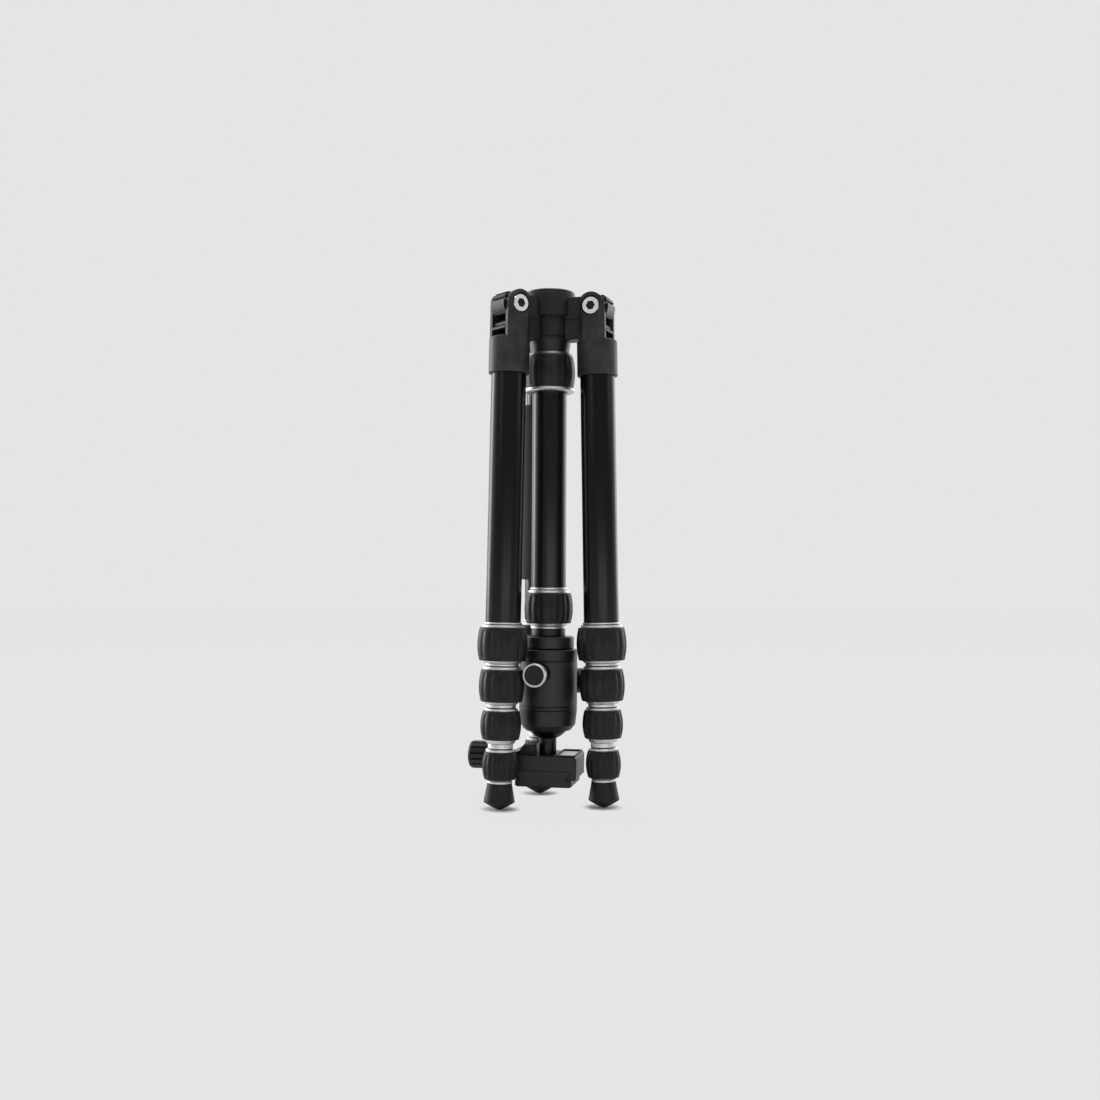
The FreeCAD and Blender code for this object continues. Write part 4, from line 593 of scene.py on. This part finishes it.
# Yokes: aluminium castings, satin black, glued over the tops of the legs. Their ears straddle the
# hub's arms. The pivot bolts are chromed steel with hexagon sockets, and the angle pawls between the
# ears are moulded plastic on small springs.

fork_black = satin_black("fork_black", 1100.0, 0.46, 0.012, 0.034)
dress([f"{leg}_yoke" for leg in LEGS], fork_black)
dress([f"{leg}_angle_pawl" for leg in LEGS], dark_plastic)


def polished_chrome(name):
    """Polished chrome: almost white metal, with faint polishing swirls in its gloss."""
    material, tree, shader, place = new_finish(name)
    swirl = stretched(place, (900, 900, 900), 3.0, 0.7)
    plug(
        tree, shader,
        Base_Color=grey_mix(place, swirl.between(0.3, 0.7), 0.6, 0.75),
        Metallic=1.0, Roughness=swirl * 0.1 + 0.13,
    )
    return material


chrome = polished_chrome("chrome")
dress(["pivot_bolts"], chrome)

BOLT_FACE = 13.2
SOCKET_RADIUS = 3.4
for leg, direction in LEGS.items():
    pivot_place = (
        COLUMN @ Matrix.Rotation(math.radians(direction), 4, "Z")
        @ Matrix.Translation((PIVOT_RADIUS * MM, 0, LEG_LENGTH * math.cos(LEAN) * MM))
        @ Matrix.Rotation(math.radians(-90), 4, "X")
    )
    # Painted shade: a near-black hexagonal plate in each bolt's socket stands for the shade inside the
    # hexagon.
    for side in (1, -1):
        floor_low, floor_high, rim, bevel = (side * (BOLT_FACE - depth) for depth in (1.38, 1.1, 0.5, 0.9))
        socket_shade = turned(f"{leg}_socket_{'right' if side > 0 else 'left'}", [
            (0, floor_low), (SOCKET_RADIUS, floor_low), (SOCKET_RADIUS, rim),
            (SOCKET_RADIUS - 0.35, bevel), (0, floor_high),
        ], pivot_place, shade_and_trim_black, 6, None, 20)
        stand_for(socket_shade, "hub", "chrome")

# Foam grip: a sleeve of closed-cell foam pushed over the rear leg's upper tube, with rounded ends
# and an open pored skin.


def foam_skin(name):
    """Closed-cell foam: small round pores as dents, and soft lumps over them."""
    material, tree, shader, place = new_finish(name)
    pores = place.node("ShaderNodeTexVoronoi", {}, {"Vector": place, "Scale": 1300.0})
    lumps = stretched(place, (90, 90, 60), 4.0)
    plug(
        tree, shader,
        # Painted shade: the dents of the pores take the darker grey.
        Base_Color=grey_mix(place, pores.between(0.1, 0.6), 0.007, 0.022),
        Roughness=lumps * 0.1 + 0.82,
        Normal=bumped(place, pores + lumps * 1.5, 0.5, 0.00016),
        Sheen_Weight=0.2,
    )
    return material


FOAM_RADIUS = 16.3
FOAM_LOW = 161.5
FOAM_TOP = 293.0
foam = turned(
    "foam_sleeve", eased(ring(TUBE[1] + BOND, FOAM_RADIUS, FOAM_LOW, FOAM_TOP), 2.2, 8),
    leg_frame(LEGS["rear_leg"]), foam_skin("foam_black"), 128,
)
stand_for(foam, "rear_leg_section_1", "foam", "foam_grip")

# Ball head: turned aluminium, coated satin black. The base disc stays with the column, and the
# housing pans under it. Fine grooves run round the housing, and its mouth narrows towards the ball.

head_black = satin_black("head_black", 1700.0, 0.38, 0.009, 0.016)
BASE_LOW = 111.5
BASE_RADIUS = 18.5
BASE_BEVEL = 0.8
base = turned("head_base_disc", eased([
    (STUD_RADIUS + BOND, BASE_LOW), (BASE_RADIUS - BASE_BEVEL, BASE_LOW),
    (BASE_RADIUS, BASE_LOW + BASE_BEVEL), (BASE_RADIUS, MOUNT_LOW - BASE_BEVEL),
    (BASE_RADIUS - BASE_BEVEL, MOUNT_LOW), (STUD_RADIUS + BOND, MOUNT_LOW),
], 0.25), COLUMN, head_black, 128)
stand_for(base, "inner_column", "black_casting", "head_base")
dress(["head_housing"], head_black)
dress(["ball_seat"], dark_plastic)
dress(["ball"], tube_black)

# Knobs of the head: the pan lock is a turned knob with a bright ring round a sunk dark disc, and the
# ball lock is a ribbed plastic moulding. Both are screwed into the side of the housing by a shaft.

PAN_KNOB_TURN = math.radians(247)
PAN_KNOB_HEIGHT = 94.6
BALL_KNOB_TURN = math.radians(30)
BALL_KNOB_HEIGHT = 87.0
SHAFT_RADIUS = 2.9
SHAFT_START = 12.0
SHAFT_END = 19.7


def knob_frame(direction, height):
    """The place of a knob on the head's side: Z points away from the column."""
    return (
        COLUMN @ Matrix.Translation((0, 0, height * MM)) @ Matrix.Rotation(direction, 4, "Z")
        @ Matrix.Rotation(math.radians(90), 4, "Y")
    )


pan_place = knob_frame(PAN_KNOB_TURN, PAN_KNOB_HEIGHT)
PAN_DISC_RADIUS = 6.9
PAN_DISC_SEAT = 36.7
PAN_RING_RADIUS = 8.4
PAN_RING_FACE = 38.8
pan_body = turned("pan_knob_body", eased([
    (0, SHAFT_START), (SHAFT_RADIUS, SHAFT_START), (SHAFT_RADIUS, SHAFT_END), (6.4, SHAFT_END),
    (6.4, 33.6), (PAN_DISC_RADIUS, 34.4), (PAN_DISC_RADIUS, PAN_DISC_SEAT), (0, PAN_DISC_SEAT),
], 0.3), pan_place, head_black)
stand_for(pan_body, "pan_lock_knob", "black_casting", "pan_lock_knob")
ring_inner = PAN_DISC_RADIUS + BOND
pan_ring = turned("pan_knob_ring", eased([
    (ring_inner, 34.1), (PAN_RING_RADIUS - 0.4, 34.3), (PAN_RING_RADIUS, 34.8),
    (PAN_RING_RADIUS, PAN_RING_FACE - 0.4), (PAN_RING_RADIUS - 0.4, PAN_RING_FACE),
    (7.2, PAN_RING_FACE), (ring_inner, PAN_RING_FACE - 0.5),
], 0.2), pan_place, bright_metal, 128)
stand_for(pan_ring, "pan_lock_knob", "black_casting")
disc_low = PAN_DISC_SEAT + BOND
disc_face = PAN_DISC_SEAT + 1.3
pan_disc = turned("pan_knob_disc", eased([
    (0, disc_low), (PAN_DISC_RADIUS, disc_low), (PAN_DISC_RADIUS, disc_face + 0.2), (5.9, disc_face + 0.2),
    (5.7, disc_face), (0, disc_face),
], 0.12), pan_place, shade_and_trim_black, 96)
stand_for(pan_disc, "pan_lock_knob", "black_casting")


def ribbed(radius, low, high, count, depth):
    """Grooves along a knob: the depth times the square of a clipped cosine round it, faded out at both
    ends and kept to the outside."""
    def wave(angle, profile):
        row = profile[None, :, :]
        along = np.clip((row[..., 1] - low) / 0.8, 0, 1) * np.clip((high - row[..., 1]) / 0.8, 0, 1)
        outer = np.clip((row[..., 0] - radius + 1.2) / 0.8, 0, 1)
        groove = np.clip(np.cos(angle * count), 0, 1) ** 2
        return -depth * groove * along * outer
    return wave


def along(*corners, step=0.6):
    """A profile of corners with extra points put evenly along its longer sides."""
    point = np.array(corners, float)
    after = np.roll(point, -1, 0)
    counts = np.maximum(1, np.ceil(np.linalg.norm(after - point, axis=1) / step)).astype(int)
    return np.concatenate([
        a + (b - a) * np.arange(n)[:, None] / n for a, b, n in zip(point, after, counts)
    ])


BALL_KNOB_RADIUS = 9.0
RIBS_LOW = 23.4
RIBS_HIGH = 34.5
ball_lock = turned("ball_lock_knob_body", along(
    (0, SHAFT_START), (SHAFT_RADIUS, SHAFT_START), (SHAFT_RADIUS, SHAFT_END), (6.0, SHAFT_END),
    (6.0, 22.5), (8.2, 22.5), (8.8, 22.8), (BALL_KNOB_RADIUS, RIBS_LOW), (BALL_KNOB_RADIUS, RIBS_HIGH),
    (8.6, 35.5), (8.0, 36.2), (7.0, 36.5), (0, 36.5),
), knob_frame(BALL_KNOB_TURN, BALL_KNOB_HEIGHT), dark_plastic, 240, ribbed(
    BALL_KNOB_RADIUS, RIBS_LOW, RIBS_HIGH, 20, 0.7
), 40)
stand_for(ball_lock, "ball_lock_knob", "black_plastic", "ball_lock_knob")

# Clamp: a cast body with a fixed jaw, a moving jaw that a side knob draws in, and the dovetailed
# plate between them with its rubber pad and steel camera screw.

dress(["clamp_body", "clamp_jaw", "plate"], head_black)
dress(["plate_pad"], foot_black)
CLAMP_TURN = math.radians(-19)
clamp_place = COLUMN @ Matrix.Rotation(CLAMP_TURN, 4, "Z")
TRAY_MIDDLE = (15.6, 0.0)
TRAY_HALF = (7.2, 17.4)
TRAY_CORNER = 1.5
TRAY_LOW = 35.5
RIM_TOP = 36.9
RIM_WIDTH = 1.1


def rounded_tray(name, profile, material):
    """Row i is a point of a rounded rectangle round the tray's middle; profile point (grow, height) lies
    on the rectangle grown outwards by grow, and a grow of None is the middle itself."""
    angle = np.linspace(0, 2 * np.pi, 64, endpoint=False)
    turn = np.stack([np.cos(angle), np.sin(angle)], -1)
    inner = np.array(TRAY_HALF) - TRAY_CORNER
    rows = []
    for grow, height in profile:
        spread = 0.0 if grow is None else 1.0
        flat = spread * (np.sign(np.round(turn, 9)) * inner + turn * (TRAY_CORNER + (grow or 0.0)))
        rows.append(np.concatenate([flat + TRAY_MIDDLE, np.full((64, 1), height)], 1))
    piece = made_mesh(name, np.stack(rows, 1), material)
    piece.data.transform(clamp_place)
    return piece


tray_rim = rounded_tray("clamp_tray_rim", [
    (-RIM_WIDTH, TRAY_LOW), (0.0, TRAY_LOW), (0.0, RIM_TOP - 0.2), (-0.2, RIM_TOP),
    (0.2 - RIM_WIDTH, RIM_TOP), (-RIM_WIDTH, RIM_TOP - 0.2),
], shade_and_trim_black)
stand_for(tray_rim, "clamp_body", "black_casting")
floor_edge = -RIM_WIDTH - 0.05
tray_floor = rounded_tray("clamp_tray_floor", [
    (None, TRAY_LOW), (floor_edge, TRAY_LOW), (floor_edge, TRAY_LOW + 0.25), (None, TRAY_LOW + 0.25),
], turned_bright("tray_metal", 0.4))
stand_for(tray_floor, "clamp_body", "black_casting")


def plain_steel(name):
    """Plain turned steel: grey metal with lathe lines in its gloss."""
    material, tree, shader, place = new_finish(name)
    lines = stretched(place, (6000, 6000, 9000), 2.0)
    plug(
        tree, shader,
        Base_Color=grey_mix(place, lines, 0.34, 0.5), Metallic=1.0,
        Roughness=lines * 0.2 + 0.25, Normal=bumped(place, lines, 0.3, 0.00003),
    )
    return material


dress(["camera_screw"], plain_steel("screw_steel"))
SCREW_HEIGHT = 33.4
SCREW_RADIUS = 2.5
SCREW_START = 7.6
SCREW_END = 24.1
CLAMP_KNOB_RADIUS = 10.0
CLAMP_KNOB_END = 58.0
clamp_knob_place = (
    clamp_place @ Matrix.Translation((0, 0, SCREW_HEIGHT * MM))
    @ Matrix.Rotation(math.radians(-90), 4, "Y")
)
knob_black = moulded("knob_black", 0.01, 0.018, 0.34)
clamp_knob = turned("clamp_knob_body", along(
    (0, SCREW_START), (SCREW_RADIUS, SCREW_START), (SCREW_RADIUS, SCREW_END), (4.1, SCREW_END),
    (4.1, 28.1), (5.6, 28.1), (6.0, 28.5), (6.0, 36.5), (9.2, 38), (9.8, 38.4), (CLAMP_KNOB_RADIUS, 39),
    (CLAMP_KNOB_RADIUS, 55), (9.6, 56.3), (8.8, 57.3), (7, CLAMP_KNOB_END), (0, CLAMP_KNOB_END),
), clamp_knob_place, knob_black, 240, ribbed(CLAMP_KNOB_RADIUS, 39.0, 56.0, 14, 1.6), 40)
stand_for(clamp_knob, "clamp_knob", "black_plastic", "clamp_knob")

# Floor, soft studio light and the camera. The floor and what is behind it show as the photograph's
# even pale grey, and the floor keeps the tripod's shadow. Light comes from both sides and behind, so
# the black tubes are dark in the middle and pale along their edges.

PALE = 0.783
floor_mesh = bpy.data.meshes.new("floor")
REACH = 6.0
floor_mesh.from_pydata(
    [(-REACH, -REACH, 0), (REACH, -REACH, 0), (REACH, REACH, 0), (-REACH, REACH, 0)], [], [(0, 1, 2, 3)]
)
floor = bpy.data.objects.new("floor", floor_mesh)
bpy.context.scene.collection.objects.link(floor)
floor_finish, tree, shader, place = new_finish("pale_floor")
FOOT_SHADOW = 0.010
SHADOW_END = 0.017
seen = place.node("ShaderNodeLightPath", {}, {}, 0)
open_floor = 1.0
for direction in LEGS.values():
    foot = leg_frame(direction).translation
    away = place.node("ShaderNodeVectorMath", {"operation": "DISTANCE"}, {0: place, 1: foot}, 1)
    open_floor = away.between(FOOT_SHADOW, SHADOW_END) * open_floor
# Painted reflection: the floor is darker where glossy surfaces reflect it than where it lights the tripod,
# which dims its reflection in the tubes.
mirrored = place.node("ShaderNodeLightPath", {}, {}, 3)
plug(
    tree, shader,
    Base_Color=grey_mix(place, mirrored, 0.95, 0.66), Roughness=0.9, Specular_IOR_Level=0.1,
)
glow = tree.nodes.new("ShaderNodeEmission")
glow.inputs["Color"].default_value = (PALE, PALE, PALE, 1)
blend = tree.nodes.new("ShaderNodeMixShader")
share = seen * (open_floor * 0.94 + 0.04)
tree.links.new(share.socket, blend.inputs[0])
tree.links.new(shader.outputs[0], blend.inputs[1])
tree.links.new(glow.outputs[0], blend.inputs[2])
tree.links.new(blend.outputs[0], tree.nodes["Material Output"].inputs[0])
floor_mesh.materials.append(floor_finish)

world = bpy.data.worlds.new("studio")
bpy.context.scene.world = world
world.use_nodes = True
sky = world.node_tree
start = sky.nodes.new("ShaderNodeTexCoord")
way = Wire(sky, start.outputs["Generated"])
split = sky.nodes.new("ShaderNodeSeparateXYZ")
sky.links.new(way.socket, split.inputs[0])
side = Wire(sky, split.outputs[1])
camera_ray = way.node("ShaderNodeLightPath", {}, {}, 0)
level = side.between(-0.35, 0.45) * 0.98 + 0.22
strength = camera_ray * PALE + (1 - camera_ray) * level
backdrop = sky.nodes["Background"]
backdrop.inputs["Color"].default_value = (1, 1, 1, 1)
sky.links.new(strength.socket, backdrop.inputs["Strength"])


def lamp(name, spot, aim, size, power):
    """A soft rectangular studio lamp at spot, turned to aim, with sizes in metres and power in watts."""
    light = bpy.data.lights.new(name, "AREA")
    light.shape = "RECTANGLE"
    light.size, light.size_y = size
    light.energy = power
    holder = bpy.data.objects.new(name, light)
    bpy.context.scene.collection.objects.link(holder)
    holder.location = spot
    holder.rotation_euler = (Vector(aim) - Vector(spot)).to_track_quat("-Z", "Y").to_euler()


lamp("left_softbox", (-1.5, 1.1, 0.5), (0, 0, 0.18), (0.7, 1.4), 16)
lamp("right_softbox", (1.5, 1.1, 0.5), (0, 0, 0.18), (0.7, 1.4), 5)
lamp("high_softbox", (0.2, -1.3, 2.2), (0, 0, 0.2), (1.4, 0.9), 15)
lamp("left_card", (-0.80, -0.62, 0.60), (0, 0, 0.356), (0.3, 0.3), 0.2)
lamp("right_card", (0.93, -0.39, 0.60), (0, 0, 0.356), (0.3, 0.3), 0.2)
lamp("low_card", (0.1, -1.2, 0.06), (0, 0, 0.04), (1.2, 0.1), 0.8)

DISTANCE = 0.9
EYE_HEIGHT = 0.160
EYE_TURN = math.radians(-8)
EYE_ROLL = math.radians(0.3)
PIXELS = 1238.0
FRAME = 1100.0
HORIZON_DROP = 32.0
SHIFT = (1.1, -0.5)
SENSOR = 36.0
lens = bpy.data.cameras.new("eye")
eye = bpy.data.objects.new("eye", lens)
bpy.context.scene.collection.objects.link(eye)
lens.sensor_width = SENSOR
lens.lens = SENSOR * PIXELS / FRAME
lens.shift_x, lens.shift_y = SHIFT[0] / FRAME, SHIFT[1] / FRAME
lens.clip_start, lens.clip_end = 0.01, 50
eye.location = COLUMN @ Vector((
    DISTANCE * math.sin(EYE_TURN), -DISTANCE * math.cos(EYE_TURN), EYE_HEIGHT
))
pitch = math.atan(HORIZON_DROP / PIXELS)
facing = Matrix.Rotation(EYE_TURN, 4, "Z") @ Matrix.Rotation(math.radians(90) + pitch, 4, "X")
eye.matrix_world = Matrix.Translation(eye.location) @ facing @ Matrix.Rotation(EYE_ROLL, 4, "Z")
bpy.context.scene.camera = eye
bpy.context.scene.view_settings.view_transform = "Standard"
